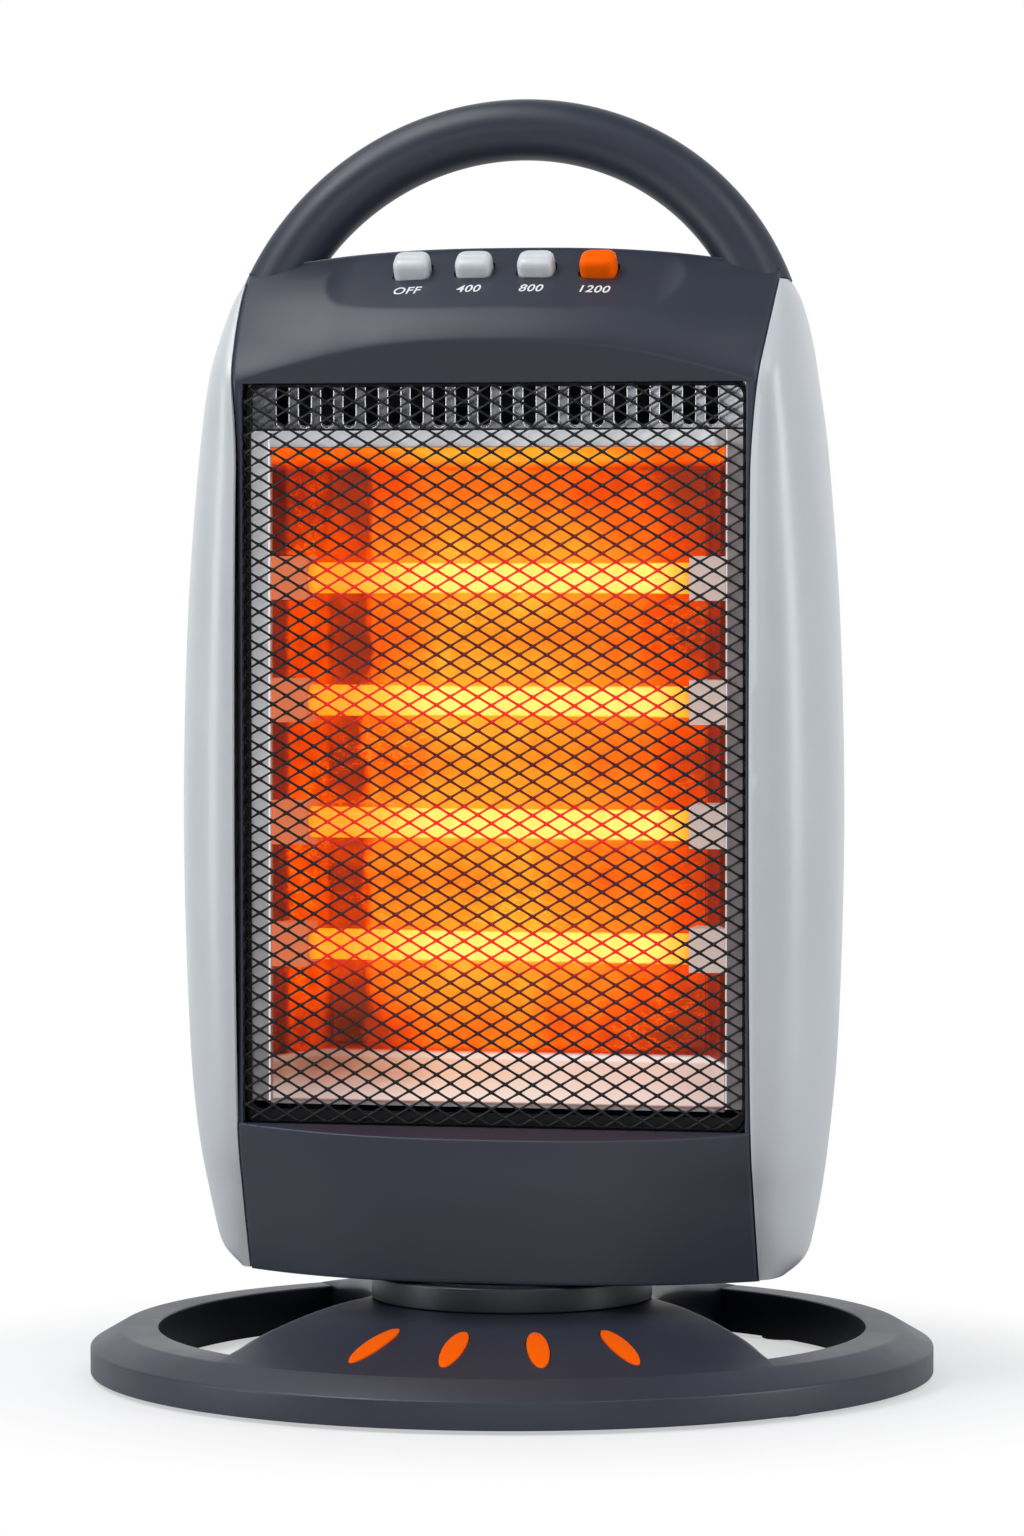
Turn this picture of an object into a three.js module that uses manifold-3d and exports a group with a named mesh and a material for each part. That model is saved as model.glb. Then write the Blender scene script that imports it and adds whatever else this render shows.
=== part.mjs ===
// A free-standing halogen heater: a ring base with a domed bridge, a head that swivels on it,
// four quartz lamps in a polished reflector behind an expanded-metal guard, four push keys
// and an arched carrying handle. Millimetres, +Z up, front towards -Y, origin on the floor
// at the centre of the base.
import * as THREE from "three";
import { mergeGeometries, mergeVertices } from "three/addons/utils/BufferGeometryUtils.js";
import Module from "manifold-3d";

const wasm = await Module();
wasm.setup();

// ---------------------------------------------------------------- driving dimensions

// General fits
const SEAT_GAP = 0.3; // between pieces that rest on or lie in each other
const SLIDE_GAP = 0.5; // round a key or a plunger that travels
const WALL = 2.3; // moulded plastic shells
const SHEET = 1.0; // reflector and shield metal

// Base ring
const RING_OUTER_R = 165;
const RING_BEVEL_WIDTH = 11.7;
const RING_TOP_WIDTH = 14.8;
const RING_BEVEL_R = RING_OUTER_R - RING_BEVEL_WIDTH; // inner edge of the outer bevel
const RING_INNER_R = RING_BEVEL_R - RING_TOP_WIDTH;
const RING_SIDE_TOP = 12;
const RING_BEVEL_TOP = 18.8;
const RING_TOP = 19.2;
const RING_SEGMENTS = 48;

// Feet
const FOOT_R = 9;
const FOOT_HEIGHT = 1.2;
const FOOT_PEG_R = 3;
const FOOT_PEG_LENGTH = 5;
const FOOT_BOSS_R = 6.5;
const FOOT_CIRCLE_R = RING_OUTER_R - 15.5;
const FOOT_ANGLES = [45, 135, 225, 315];

// Swivel
const HEAD_TURN = -9; // degrees, how the head stands in the photograph
const SWIVEL_HALF_RANGE = 35; // degrees each way from straight ahead
const COLLAR_R = 55;
const COLLAR_HEIGHT = 7.1;
const COLLAR_EDGE = 1;
const TURNTABLE_R = COLLAR_R - 7;
const TURNTABLE_THICK = 1.6;
const WASHER_R = TURNTABLE_R - 4;
const WASHER_THICK = 0.6;
const SPINDLE_R = 20;
const SPINDLE_BORE_R = 14;
const RETAINER_R = SPINDLE_R + 8;
const RETAINER_THICK = 3.3;
const STOP_TAB_REACH = RETAINER_R + 6;
const STOP_TAB_WIDTH = 8;
const STOP_RIB = 5;

// Domed bridge across the ring, seen from above
const DOME_TOP = 29.8;
const DOME_FLAT_R = COLLAR_R + 3; // the level top that carries the neck
const DOME_CURVE = 1.6; // how much steeper it falls towards the ring
const DOME_STEPS = 3;
const DOME_WAIST = COLLAR_R + 5; // half-width of the bridge beside the neck
const DOME_FRONT_HALF = 0.68 * RING_BEVEL_R;
const DOME_FRONT_Y = -0.476 * RING_BEVEL_R;
const DOME_TOE_HALF = 0.715 * RING_BEVEL_R; // where it ends at the bevel, in front
const DOME_HEEL_HALF = 0.515 * RING_BEVEL_R; // and at the back

// Orange inlays on the front slope
const INLAY_COUNT = 4;
const INLAY_SPREAD = 17.2; // degrees between neighbours
const INLAY_CIRCLE_R = 0.68 * RING_BEVEL_R;
const INLAY_LENGTH = 40;
const INLAY_WIDTH = 9;
const INLAY_PROUD = 0.7;
const INLAY_DEPTH = 1.4; // of the pocket
const INLAY_FACETS = 6; // to each half of its outline

// Tip-over switch in the base
const TIP_Y = -78;
const TIP_BODY = { width: 26, depth: 15, top: 20 };
const TIP_PLUNGER_R = 3.5;
const TIP_FLANGE_R = 5;
const TIP_FLANGE_BOTTOM = 12.5;
const TIP_FLANGE_THICK = 1.5;
const TIP_TRAVEL = 4;

// Cord inlet
const GLAND_Z = 7;
const GLAND_R = 4.5;
const GLAND_BORE_R = 3.6;
const GLAND_LENGTH = 8.6;

// The neck's stack of heights, from the bridge to the head
const COLLAR_BOTTOM = DOME_TOP + SEAT_GAP;
const COLLAR_TOP = COLLAR_BOTTOM + COLLAR_HEIGHT;
const WASHER_BOTTOM = COLLAR_TOP + SEAT_GAP;
const TURNTABLE_BOTTOM = WASHER_BOTTOM + WASHER_THICK + SEAT_GAP;
const TURNTABLE_TOP = TURNTABLE_BOTTOM + TURNTABLE_THICK;
const RETAINER_TOP = DOME_TOP - WALL - SEAT_GAP;
const RETAINER_BOTTOM = RETAINER_TOP - RETAINER_THICK;
const SPINDLE_FOOT = RETAINER_BOTTOM - 2.9;
const HEAD_BOTTOM = TURNTABLE_TOP + SEAT_GAP;

// Window in the front, with its brow above and its sill below
const CORE_HALF = 101; // half-width of the head's dark core
const WINDOW_HALF = CORE_HALF - 2;
const WINDOW_HEIGHT = 281;
const WINDOW_BOTTOM = HEAD_BOTTOM + 63.7;
const WINDOW_TOP = WINDOW_BOTTOM + WINDOW_HEIGHT;
const WINDOW_FACE_Y = -37.6;
const BROW_LEAN = 21; // degrees from upright
const SILL_SLOPE = 35; // degrees from level

// Head: its lens-like side profile
const CORE_FLARE = 5; // extra half-width at the top
const CORE_FLARE_FROM = WINDOW_TOP - 35;
const RIDGE_Y = 2;
const RIDGE_SIDE_Z = WINDOW_TOP + 46;
const RIDGE_CENTRE_Z = RIDGE_SIDE_Z + 9;
const BULGE_POWER = 2.6; // how flat the front is before it turns back at its sides
// Front of the core from the bottom up, as [height, y at its side, y in its middle].
const FRONT_PROFILE = [
  [HEAD_BOTTOM, -18, -27],
  [WINDOW_BOTTOM - 32, -30, -38.5],
  [WINDOW_BOTTOM, -39, -47],
  [WINDOW_BOTTOM + 0.27 * WINDOW_HEIGHT, -43.5, -51],
  [WINDOW_BOTTOM + 0.566 * WINDOW_HEIGHT, -44, -51.5],
  [WINDOW_TOP - 55, -42.5, -50],
  [WINDOW_TOP - 20, -40, -48],
  [WINDOW_TOP + 3, -37, -46],
];
// Top of the core from the front to the ridge, as [y, drop below the ridge] at its side
// and in its middle.
const TOP_PROFILE = [
  [[-27, 28], [-43.2, 37]],
  [[-15, 14.5], [-33, 22.5]],
  [[-7, 7], [-17, 9.5]],
  [[RIDGE_Y, 0], [RIDGE_Y, 0]],
];
// Back of the core from the ridge down, as [height, y at its side, y in its middle].
const BACK_PROFILE = [
  [RIDGE_SIDE_Z - 3, 16, 24],
  [RIDGE_SIDE_Z - 12, 28, 38],
  [RIDGE_SIDE_Z - 30, 38, 46],
  [WINDOW_TOP - 25, 43.5, 50],
  [WINDOW_BOTTOM + 0.566 * WINDOW_HEIGHT, 45, 51],
  [WINDOW_BOTTOM + 46, 43, 49],
  [WINDOW_BOTTOM - 28, 34, 41],
  [HEAD_BOTTOM, 20, 28],
];
const BACK_CROWN = [9, 6, 1, 0, 0, 0, 0, 0]; // how much higher those points lie in the middle
const CORE_STATIONS = 10; // steps across the width
const RISE_STEPS = 18; // up the front and over to the ridge
const FALL_STEPS = 10; // from the ridge down the back

// Control surface: a shallow arched recess from the ridge to the crease
const CREASE_Y = -35;
const CREASE_Z = RIDGE_CENTRE_Z - 24.5;
const CONTROL_SLOPE = 34.2; // degrees
const CONTROL_ARCH = 3.5; // drop of the recess at CONTROL_HALF from the middle
const CONTROL_HALF = CORE_HALF - 25;

// Split between the front and rear housings
const SPLIT_Y = RIDGE_Y + 1;

// Air slots through the rear housing, in two columns, low and high
const VENT_HEIGHTS = [-20, -8].map((z) => WINDOW_BOTTOM + z)
  .concat([-47, -35, -23, -11].map((z) => WINDOW_TOP + z));
const VENT_X = 42;
const VENT_LENGTH = 68;
const VENT_HEIGHT = 4;

// Posts on the rear housing that carry the heat shield
const POST_X = 62;
const POST_Z = [WINDOW_BOTTOM + 46, WINDOW_TOP - 65];
const POST_R = 4;

// Side panels: how far they stand out from the core, as [height, bulge]
const PANEL_OUTLINE = [
  [HEAD_BOTTOM + 0.7, 7],
  [HEAD_BOTTOM + 7.7, 14.6],
  [HEAD_BOTTOM + 19.7, 18.3],
  [HEAD_BOTTOM + 51.7, 23.6],
  [WINDOW_BOTTOM + 34, 27.5],
  [WINDOW_BOTTOM + 0.4 * WINDOW_HEIGHT, 29.5],
  [WINDOW_BOTTOM + 0.676 * WINDOW_HEIGHT, 27.7],
  [WINDOW_TOP - 28, 23],
  [WINDOW_TOP + 3, 18.7],
  [WINDOW_TOP + 19, 15.6],
  [WINDOW_TOP + 34, 11.3],
  [WINDOW_TOP + 42, 7],
];
const PANEL_STEPS = 16; // heights
const PANEL_SIDES = 10; // facets round the outside

// Handle
const HANDLE_ARC_R = CORE_HALF + 3;
const HANDLE_TUBE_R = 12;
const HANDLE_CENTRE_Z = RIDGE_CENTRE_Z - 56.7;
const HANDLE_CENTRE_Y = 2.4;
const HANDLE_LEAN = 12; // degrees backwards
const HANDLE_END = 68; // degrees from the top of the arc
const HANDLE_STEPS = 20;
const HANDLE_SIDES = 12;

// Keys
const KEY_NAMES = ["off", "400", "800", "1200"];
const KEY_PITCH = 24.6;
const KEY_WIDTH = 14.4;
const KEY_DEPTH = 11;
const KEY_HEIGHT = 6.2; // above the control surface
const KEY_SKIRT = 5; // below it
const KEY_CROWN = 1.2; // step round the top of the cap
const KEY_TRAVEL = 3.5;
const KEY_STEM = { width: 5, depth: 4, length: 8 };
const KEY_UPSLOPE = 26.2; // from the crease to the key's middle, along the slope
const KEY_CORNER_R = 3;
const SWITCH_DEPTH = 20;
const SWITCH_HEIGHT = 16;
const SWITCH_LUG = { width: 10, depth: 8, height: 6 };

// Guard of expanded metal
const GUARD_GAP = 0.6; // to the window's edge all round
const GUARD_HALF = WINDOW_HALF - GUARD_GAP;
const GUARD_FRONT_Y = WINDOW_FACE_Y - 0.4;
const GUARD_THICK = 1;
const GUARD_RETURN = 6.5;
const GUARD_BORDER = 1.6;
const GUARD_CORNER_R = 6;
const GUARD_COLUMNS = 6;
const GUARD_ROWS = 11;
const GUARD_STRAND = 1.3;

// Reflector
const MOUTH_Y = -30;
const MOUTH_HALF = WINDOW_HALF - 9;
const MOUTH_BOTTOM = WINDOW_BOTTOM + 3.9;
const MOUTH_TOP = WINDOW_TOP - 22.7;
const REFLECTOR_BACK_Y = 12;
const REFLECTOR_BACK_HALF = MOUTH_HALF - 15;
const REFLECTOR_BACK_BOTTOM = MOUTH_BOTTOM + 20.1;
const REFLECTOR_BACK_TOP = MOUTH_TOP - 9.3;
const FLANGE = 6.2;
const FLANGE_EDGE = CORE_HALF - WALL - SEAT_GAP; // outer edge of the flanges and the baffle
const BAFFLE_BOTTOM = MOUTH_TOP + 6.9;
const BAFFLE_TOP = WINDOW_TOP + 6;
const BAFFLE_SLOTS = 20;
const BAFFLE_PITCH = (2 * MOUTH_HALF - 2) / BAFFLE_SLOTS;
const BAFFLE_SLOT_WIDTH = 4.1;
const BAFFLE_SLOT_LENGTH = 16;
const BAFFLE_MARGIN = 1.2; // of metal under the slots
const SHIELD_HALF = MOUTH_HALF - 6;
const SHIELD_Y = REFLECTOR_BACK_Y + 7;
const SHIELD_THICK = 0.8;
const SHIELD_BACK = SHIELD_Y + SHIELD_THICK;
const SHIELD_TIP_Y = -7;

// Lamps
const LAMP_COUNT = 4;
const LAMP_TOP_Z = WINDOW_TOP - 73.5;
const LAMP_PITCH = 47.6;
const LAMP_Y = -20;
const LAMP_R = 6;
const LAMP_GLASS = 1.2;
const LAMP_HEATED_HALF = MOUTH_HALF - 14.5; // to the inner face of each ceramic
const CERAMIC_END = MOUTH_HALF + 5;
const CERAMIC_SIDE = 17;
const CERAMIC_SOCKET = 5.5;
const FILAMENT_R = 1.2;
const BRACKET_X = MOUTH_HALF + 1.5;
const BRACKET_THICK = 1.2;
const BRACKET_MARGIN = 6; // of metal above and below the ceramic ends

// Terminal block in the head's foot, and the cut-out behind the shield
const TERMINAL = {
  x: 44, y: -1, width: 40, depth: 14, height: 14,
  ways: 3, pitch: 13, wayHalf: 3.5, wayLow: 5, wayHigh: 10,
};
const CUTOUT = {
  z: WINDOW_TOP - 85, radius: 8, height: 9, flangeHalf: 16, flangeRise: 6, flangeThick: 1.2,
};

// ---------------------------------------------------------------- materials

const plastic = (color, roughness) =>
  new THREE.MeshStandardMaterial({ color, roughness, metalness: 0 });
const metal = (color, roughness) =>
  new THREE.MeshStandardMaterial({ color, roughness, metalness: 1 });
const MATERIALS = {
  darkPlastic: plastic(0x3a3d48, 0.45),
  silverPlastic: plastic(0xc3c8cb, 0.35),
  orangePlastic: plastic(0xff6620, 0.35),
  greyPlastic: plastic(0xd7d9dc, 0.35),
  blackPlastic: plastic(0x18191c, 0.5),
  rubber: plastic(0x101012, 0.85),
  ceramic: plastic(0xe8e2d8, 0.6),
  quartz: plastic(0xffd26a, 0.1),
  guardPaint: metal(0x0c0d10, 0.45),
  aluminium: metal(0xe2e4e6, 0.2),
  steel: metal(0x9a9ea3, 0.35),
  tungsten: metal(0xffb040, 0.4),
};

// ---------------------------------------------------------------- solids and booleans

const rad = THREE.MathUtils.degToRad;

// Turns every face round when a closed geometry encloses a negative volume.
function facingOut(geometry) {
  const p = geometry.attributes.position;
  const index = geometry.index.array;
  const a = new THREE.Vector3();
  const b = new THREE.Vector3();
  const c = new THREE.Vector3();
  let volume = 0;
  for (let i = 0; i < index.length; i += 3) {
    a.fromBufferAttribute(p, index[i]);
    b.fromBufferAttribute(p, index[i + 1]);
    c.fromBufferAttribute(p, index[i + 2]);
    volume += a.dot(b.cross(c));
  }
  if (volume < 0) {
    for (let i = 0; i < index.length; i += 3) {
      [index[i + 1], index[i + 2]] = [index[i + 2], index[i + 1]];
    }
  }
  return geometry;
}

// A closed three.js geometry as a manifold solid.
function solid(geometry) {
  const bare = geometry.index ? geometry.clone() : mergeVertices(geometry);
  bare.deleteAttribute("normal");
  bare.deleteAttribute("uv");
  const merged = facingOut(mergeVertices(bare, 1e-3));
  const mesh = new wasm.Mesh({
    numProp: 3,
    vertProperties: Float32Array.from(merged.attributes.position.array),
    triVerts: Uint32Array.from(merged.index.array),
  });
  return new wasm.Manifold(mesh);
}

function geometryOf(manifold) {
  const mesh = manifold.getMesh();
  const positions = new Float32Array(mesh.numVert * 3);
  for (let i = 0; i < mesh.numVert; i++) {
    const at = i * mesh.numProp;
    positions.set(mesh.vertProperties.subarray(at, at + 3), i * 3);
  }
  const geometry = new THREE.BufferGeometry();
  geometry.setAttribute("position", new THREE.BufferAttribute(positions, 3));
  geometry.setIndex(new THREE.BufferAttribute(mesh.triVerts, 1));
  geometry.computeVertexNormals();
  return geometry;
}

function piece(name, shape, material) {
  const geometry = shape.isBufferGeometry ? shape : geometryOf(shape);
  const mesh = new THREE.Mesh(geometry, material);
  mesh.name = name;
  return mesh;
}

// A solid of revolution about Z from [radius, height] points that close on themselves.
function turned(points, segments) {
  const loop = points.map(([r, z]) => new THREE.Vector2(r, z));
  loop.push(loop[0].clone());
  const geometry = new THREE.LatheGeometry(loop, segments);
  geometry.rotateX(Math.PI / 2);
  return solid(geometry);
}

const disc = (radius, z0, z1, segments) =>
  turned([[0, z0], [radius, z0], [radius, z1], [0, z1]], segments);

const tube = (outer, inner, z0, z1, segments) =>
  turned([[inner, z0], [outer, z0], [outer, z1], [inner, z1]], segments);

function box(x0, x1, y0, y1, z0, z1) {
  const geometry = new THREE.BoxGeometry(x1 - x0, y1 - y0, z1 - z0);
  geometry.translate((x0 + x1) / 2, (y0 + y1) / 2, (z0 + z1) / 2);
  return solid(geometry);
}

const NO_BEVEL = { bevelEnabled: false, curveSegments: 8 };

// A shape drawn in X and Y, raised along Z.
function raised(shape, z0, z1, curveSegments = 8) {
  const settings = { ...NO_BEVEL, curveSegments, depth: z1 - z0 };
  const geometry = new THREE.ExtrudeGeometry(shape, settings);
  geometry.translate(0, 0, z0);
  return solid(geometry);
}

// A shape drawn in X and Z, run along Y from front to back.
function runBack(shape, y0, y1, curveSegments = 2) {
  const settings = { ...NO_BEVEL, curveSegments, depth: y1 - y0 };
  const geometry = new THREE.ExtrudeGeometry(shape, settings);
  geometry.rotateX(Math.PI / 2);
  geometry.translate(0, y1, 0);
  return solid(geometry);
}

// A shape drawn in Y and Z, run along X.
function runAcross(shape, x0, x1) {
  const geometry = new THREE.ExtrudeGeometry(shape, { ...NO_BEVEL, depth: x1 - x0 });
  geometry.applyMatrix4(new THREE.Matrix4().set(0, 0, 1, x0, 1, 0, 0, 0, 0, 1, 0, 0, 0, 0, 0, 1));
  return solid(geometry);
}

const outline = (points) => new THREE.Shape(points.map(([x, y]) => new THREE.Vector2(x, y)));

function roundedRectangle(x0, x1, y0, y1, radius) {
  const shape = new THREE.Shape();
  shape.moveTo(x0 + radius, y0);
  shape.lineTo(x1 - radius, y0);
  shape.absarc(x1 - radius, y0 + radius, radius, -Math.PI / 2, 0, false);
  shape.lineTo(x1, y1 - radius);
  shape.absarc(x1 - radius, y1 - radius, radius, 0, Math.PI / 2, false);
  shape.lineTo(x0 + radius, y1);
  shape.absarc(x0 + radius, y1 - radius, radius, Math.PI / 2, Math.PI, false);
  shape.lineTo(x0, y0 + radius);
  shape.absarc(x0 + radius, y0 + radius, radius, Math.PI, 1.5 * Math.PI, false);
  return shape;
}

// A slot with round ends; turn 0 lays it level, turn 1 stands it upright.
function longSlot(x, z, length, width, turn) {
  const r = width / 2;
  const run = length / 2 - r;
  const [dx, dz] = turn ? [0, run] : [run, 0];
  const start = turn ? 0 : -Math.PI / 2;
  const shape = new THREE.Shape();
  shape.absarc(x + dx, z + dz, r, start, start + Math.PI, false);
  shape.absarc(x - dx, z - dz, r, start + Math.PI, start + 2 * Math.PI, false);
  return shape;
}

// A solid through rings of points of equal count, closed by a face at each end.
// flat gives the two coordinates in which the end faces are drawn.
function loft(rings, flat) {
  const count = rings[0].length;
  const positions = rings.flat(2);
  const triangles = [];
  for (let r = 0; r < rings.length - 1; r++) {
    for (let i = 0; i < count; i++) {
      const a = r * count + i;
      const b = r * count + ((i + 1) % count);
      triangles.push(a, b, b + count, a, b + count, a + count);
    }
  }
  const endFace = (ring, start, forwards) => {
    const face = ring.map((p) => new THREE.Vector2(p[flat[0]], p[flat[1]]));
    for (const [a, b, c] of THREE.ShapeUtils.triangulateShape(face, [])) {
      triangles.push(start + a, start + (forwards ? b : c), start + (forwards ? c : b));
    }
  };
  const clockwise = THREE.ShapeUtils.isClockWise(
    rings[0].map((p) => new THREE.Vector2(p[flat[0]], p[flat[1]])),
  );
  endFace(rings[0], 0, clockwise);
  endFace(rings.at(-1), (rings.length - 1) * count, !clockwise);
  const geometry = new THREE.BufferGeometry();
  geometry.setAttribute("position", new THREE.Float32BufferAttribute(positions, 3));
  geometry.setIndex(triangles);
  return solid(geometry);
}

// ---------------------------------------------------------------- base

const RING_BOTTOM = FOOT_HEIGHT + SEAT_GAP;

function ringSection() {
  return [
    [RING_OUTER_R, RING_BOTTOM],
    [RING_OUTER_R, RING_SIDE_TOP],
    [RING_BEVEL_R, RING_BEVEL_TOP],
    [RING_INNER_R, RING_TOP],
    [RING_INNER_R, RING_BOTTOM],
    [RING_INNER_R + WALL, RING_BOTTOM],
    [RING_INNER_R + WALL, RING_TOP - WALL],
    [RING_BEVEL_R - WALL / 3, RING_BEVEL_TOP - WALL],
    [RING_OUTER_R - WALL, RING_SIDE_TOP - WALL / 2],
    [RING_OUTER_R - WALL, RING_BOTTOM],
  ];
}

// The bridge seen from above; inset draws the inside of its walls.
function bridgeOutline(inset) {
  const end = RING_BEVEL_R - inset;
  const toeY = -Math.sqrt(end ** 2 - (DOME_TOE_HALF - inset) ** 2);
  const heelY = Math.sqrt(end ** 2 - (DOME_HEEL_HALF - inset) ** 2);
  const right = new THREE.CatmullRomCurve3(
    [
      [DOME_TOE_HALF - inset, toeY],
      [DOME_FRONT_HALF - inset, DOME_FRONT_Y],
      [DOME_WAIST + 19 - inset, DOME_FRONT_Y / 3],
      [DOME_WAIST - inset, 10],
      [DOME_WAIST + 2 - inset, 50],
      [DOME_HEEL_HALF - inset, heelY],
    ].map(([x, y]) => new THREE.Vector3(x, y, 0)),
  ).getPoints(15);
  const shape = new THREE.Shape();
  shape.moveTo(right[0].x, right[0].y);
  right.slice(1).forEach((p) => shape.lineTo(p.x, p.y));
  const heel = Math.atan2(heelY, DOME_HEEL_HALF - inset);
  shape.absarc(0, 0, end, heel, Math.PI - heel, false);
  right.reverse().forEach((p) => shape.lineTo(-p.x, p.y));
  const toe = Math.atan2(toeY, DOME_TOE_HALF - inset);
  shape.absarc(0, 0, end, -Math.PI - toe, toe, false);
  return shape;
}

// The dome's section outwards from the edge of its level top, shifted up or down.
function domeSection(shift) {
  const points = [];
  for (let i = DOME_STEPS; i >= 0; i--) {
    const t = i / DOME_STEPS;
    const r = THREE.MathUtils.lerp(DOME_FLAT_R, RING_BEVEL_R, t);
    points.push([r, DOME_TOP - (DOME_TOP - RING_BEVEL_TOP) * t ** DOME_CURVE + shift]);
  }
  return points;
}

// Everything under the dome's face, moved up or down by a shift.
function underDome(shift) {
  const section = domeSection(shift);
  return turned([[0, 0], [RING_BEVEL_R, 0], ...section, [0, DOME_TOP + shift]], RING_SEGMENTS);
}

function bridge() {
  const outer = raised(bridgeOutline(0), RING_BOTTOM, DOME_TOP + 1).intersect(underDome(0));
  const hollow = disc(RING_INNER_R, -1, DOME_TOP, RING_SEGMENTS).intersect(underDome(-WALL));
  return outer.subtract(raised(bridgeOutline(WALL), -1, DOME_TOP).intersect(hollow));
}

// An inlay's outline, long towards the axis, standing at the front of the base.
function inlayOutline(clearance) {
  const shape = new THREE.Shape();
  const length = INLAY_LENGTH / 2 + clearance;
  const width = INLAY_WIDTH / 2 + clearance;
  shape.absellipse(0, -INLAY_CIRCLE_R, width, length, 0, 2 * Math.PI, false, 0);
  return shape;
}

const inlayAngle = (i) => rad((i - (INLAY_COUNT - 1) / 2) * INLAY_SPREAD);

function turnedAboutZ(manifold, angle) {
  return manifold.rotate([0, 0, THREE.MathUtils.radToDeg(angle)]);
}

function inlay(i) {
  const blank = raised(inlayOutline(0), RING_BOTTOM, DOME_TOP + 5, INLAY_FACETS);
  return turnedAboutZ(blank, inlayAngle(i))
    .intersect(underDome(INLAY_PROUD))
    .subtract(underDome(SEAT_GAP - INLAY_DEPTH));
}

function inlayPocket(i) {
  const blank = raised(inlayOutline(SEAT_GAP), RING_BOTTOM, DOME_TOP + 5, INLAY_FACETS);
  return turnedAboutZ(blank, inlayAngle(i)).subtract(underDome(-INLAY_DEPTH));
}

const footPlace = (angle) => [
  FOOT_CIRCLE_R * Math.cos(rad(angle)),
  FOOT_CIRCLE_R * Math.sin(rad(angle)),
  0,
];

function footBoss() {
  return disc(FOOT_BOSS_R, RING_BOTTOM, RING_BEVEL_TOP - 1.2 * WALL, 14);
}

function foot() {
  const pegTop = RING_BOTTOM + FOOT_PEG_LENGTH;
  return turned(
    [[0, 0], [FOOT_R - 0.4, 0], [FOOT_R, 0.4], [FOOT_R, FOOT_HEIGHT], [FOOT_PEG_R, FOOT_HEIGHT],
      [FOOT_PEG_R, pegTop], [0, pegTop]],
    14,
  );
}

// Two ribs under the level top, which the retainer's tab meets at either end of the swivel.
function stopRibs() {
  const tabHalf = Math.asin(STOP_TAB_WIDTH / 2 / RETAINER_R);
  const reach = rad(SWIVEL_HALF_RANGE + 1) + tabHalf;
  const rib = (side) => {
    const y0 = side > 0 ? 0 : -STOP_RIB;
    const blank = box(RETAINER_R + 1, STOP_TAB_REACH + 2, y0, y0 + STOP_RIB, RETAINER_BOTTOM,
      DOME_TOP - WALL / 2);
    return turnedAboutZ(blank, side * reach);
  };
  return rib(1).add(rib(-1));
}

function baseShell() {
  let shell = turned(ringSection(), RING_SEGMENTS).add(bridge()).add(stopRibs());
  for (const angle of FOOT_ANGLES) {
    shell = shell.add(footBoss().translate(footPlace(angle)));
  }
  for (const angle of FOOT_ANGLES) {
    const peg = disc(FOOT_PEG_R + SEAT_GAP, 0, RING_BOTTOM + FOOT_PEG_LENGTH + 1, 10);
    shell = shell.subtract(peg.translate(footPlace(angle)));
  }
  for (let i = 0; i < INLAY_COUNT; i++) shell = shell.subtract(inlayPocket(i));
  shell = shell.subtract(disc(SPINDLE_R + SEAT_GAP, 0, DOME_TOP + 1, 40));
  const cordWay = disc(GLAND_R + SEAT_GAP, 0, 60, 16).rotate([-90, 0, 0]);
  return shell.subtract(cordWay.translate([0, RING_INNER_R - 15, GLAND_Z]));
}

const UNDERPLATE_TOP = RING_BOTTOM + 2;

function baseUnderplate() {
  const inset = WALL + SEAT_GAP;
  const inside = disc(RING_INNER_R - SEAT_GAP, 0, RING_TOP, RING_SEGMENTS);
  const plate = raised(bridgeOutline(inset), RING_BOTTOM, UNDERPLATE_TOP).intersect(inside);
  return plate.subtract(disc(TIP_PLUNGER_R + SLIDE_GAP, 0, 10, 20).translate([0, TIP_Y, 0]));
}

function cordGland() {
  const lip = tube(GLAND_R + 0.5, GLAND_BORE_R, 0, 2.5, 14);
  const barrel = tube(GLAND_R, GLAND_BORE_R, 1, GLAND_LENGTH, 14);
  const gland = lip.add(barrel).rotate([-90, 0, 0]);
  return gland.translate([0, RING_OUTER_R - GLAND_LENGTH - 0.2, GLAND_Z]);
}

// The tip-over switch stands on the underplate; its plunger reaches the floor.
function tipSwitchBody() {
  const { width, depth, top } = TIP_BODY;
  const bottom = UNDERPLATE_TOP + SEAT_GAP;
  const block = box(-width / 2, width / 2, -depth / 2, depth / 2, bottom, top);
  const chamberFloor = TIP_FLANGE_BOTTOM - TIP_TRAVEL - SLIDE_GAP;
  const chamberTop = TIP_FLANGE_BOTTOM + TIP_FLANGE_THICK + 1;
  return block
    .subtract(disc(TIP_PLUNGER_R + SLIDE_GAP, 0, chamberFloor + 1, 20))
    .subtract(disc(TIP_FLANGE_R + SLIDE_GAP, chamberFloor, chamberTop, 20))
    .translate([0, TIP_Y, 0]);
}

function tipPlunger() {
  const flangeTop = TIP_FLANGE_BOTTOM + TIP_FLANGE_THICK;
  return turned(
    [[0, 0], [TIP_PLUNGER_R - 1, 0], [TIP_PLUNGER_R, 1], [TIP_PLUNGER_R, TIP_FLANGE_BOTTOM],
      [TIP_FLANGE_R, TIP_FLANGE_BOTTOM], [TIP_FLANGE_R, flangeTop], [0, flangeTop]],
    14,
  ).translate([0, TIP_Y, 0]);
}

// ---------------------------------------------------------------- swivel

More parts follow.
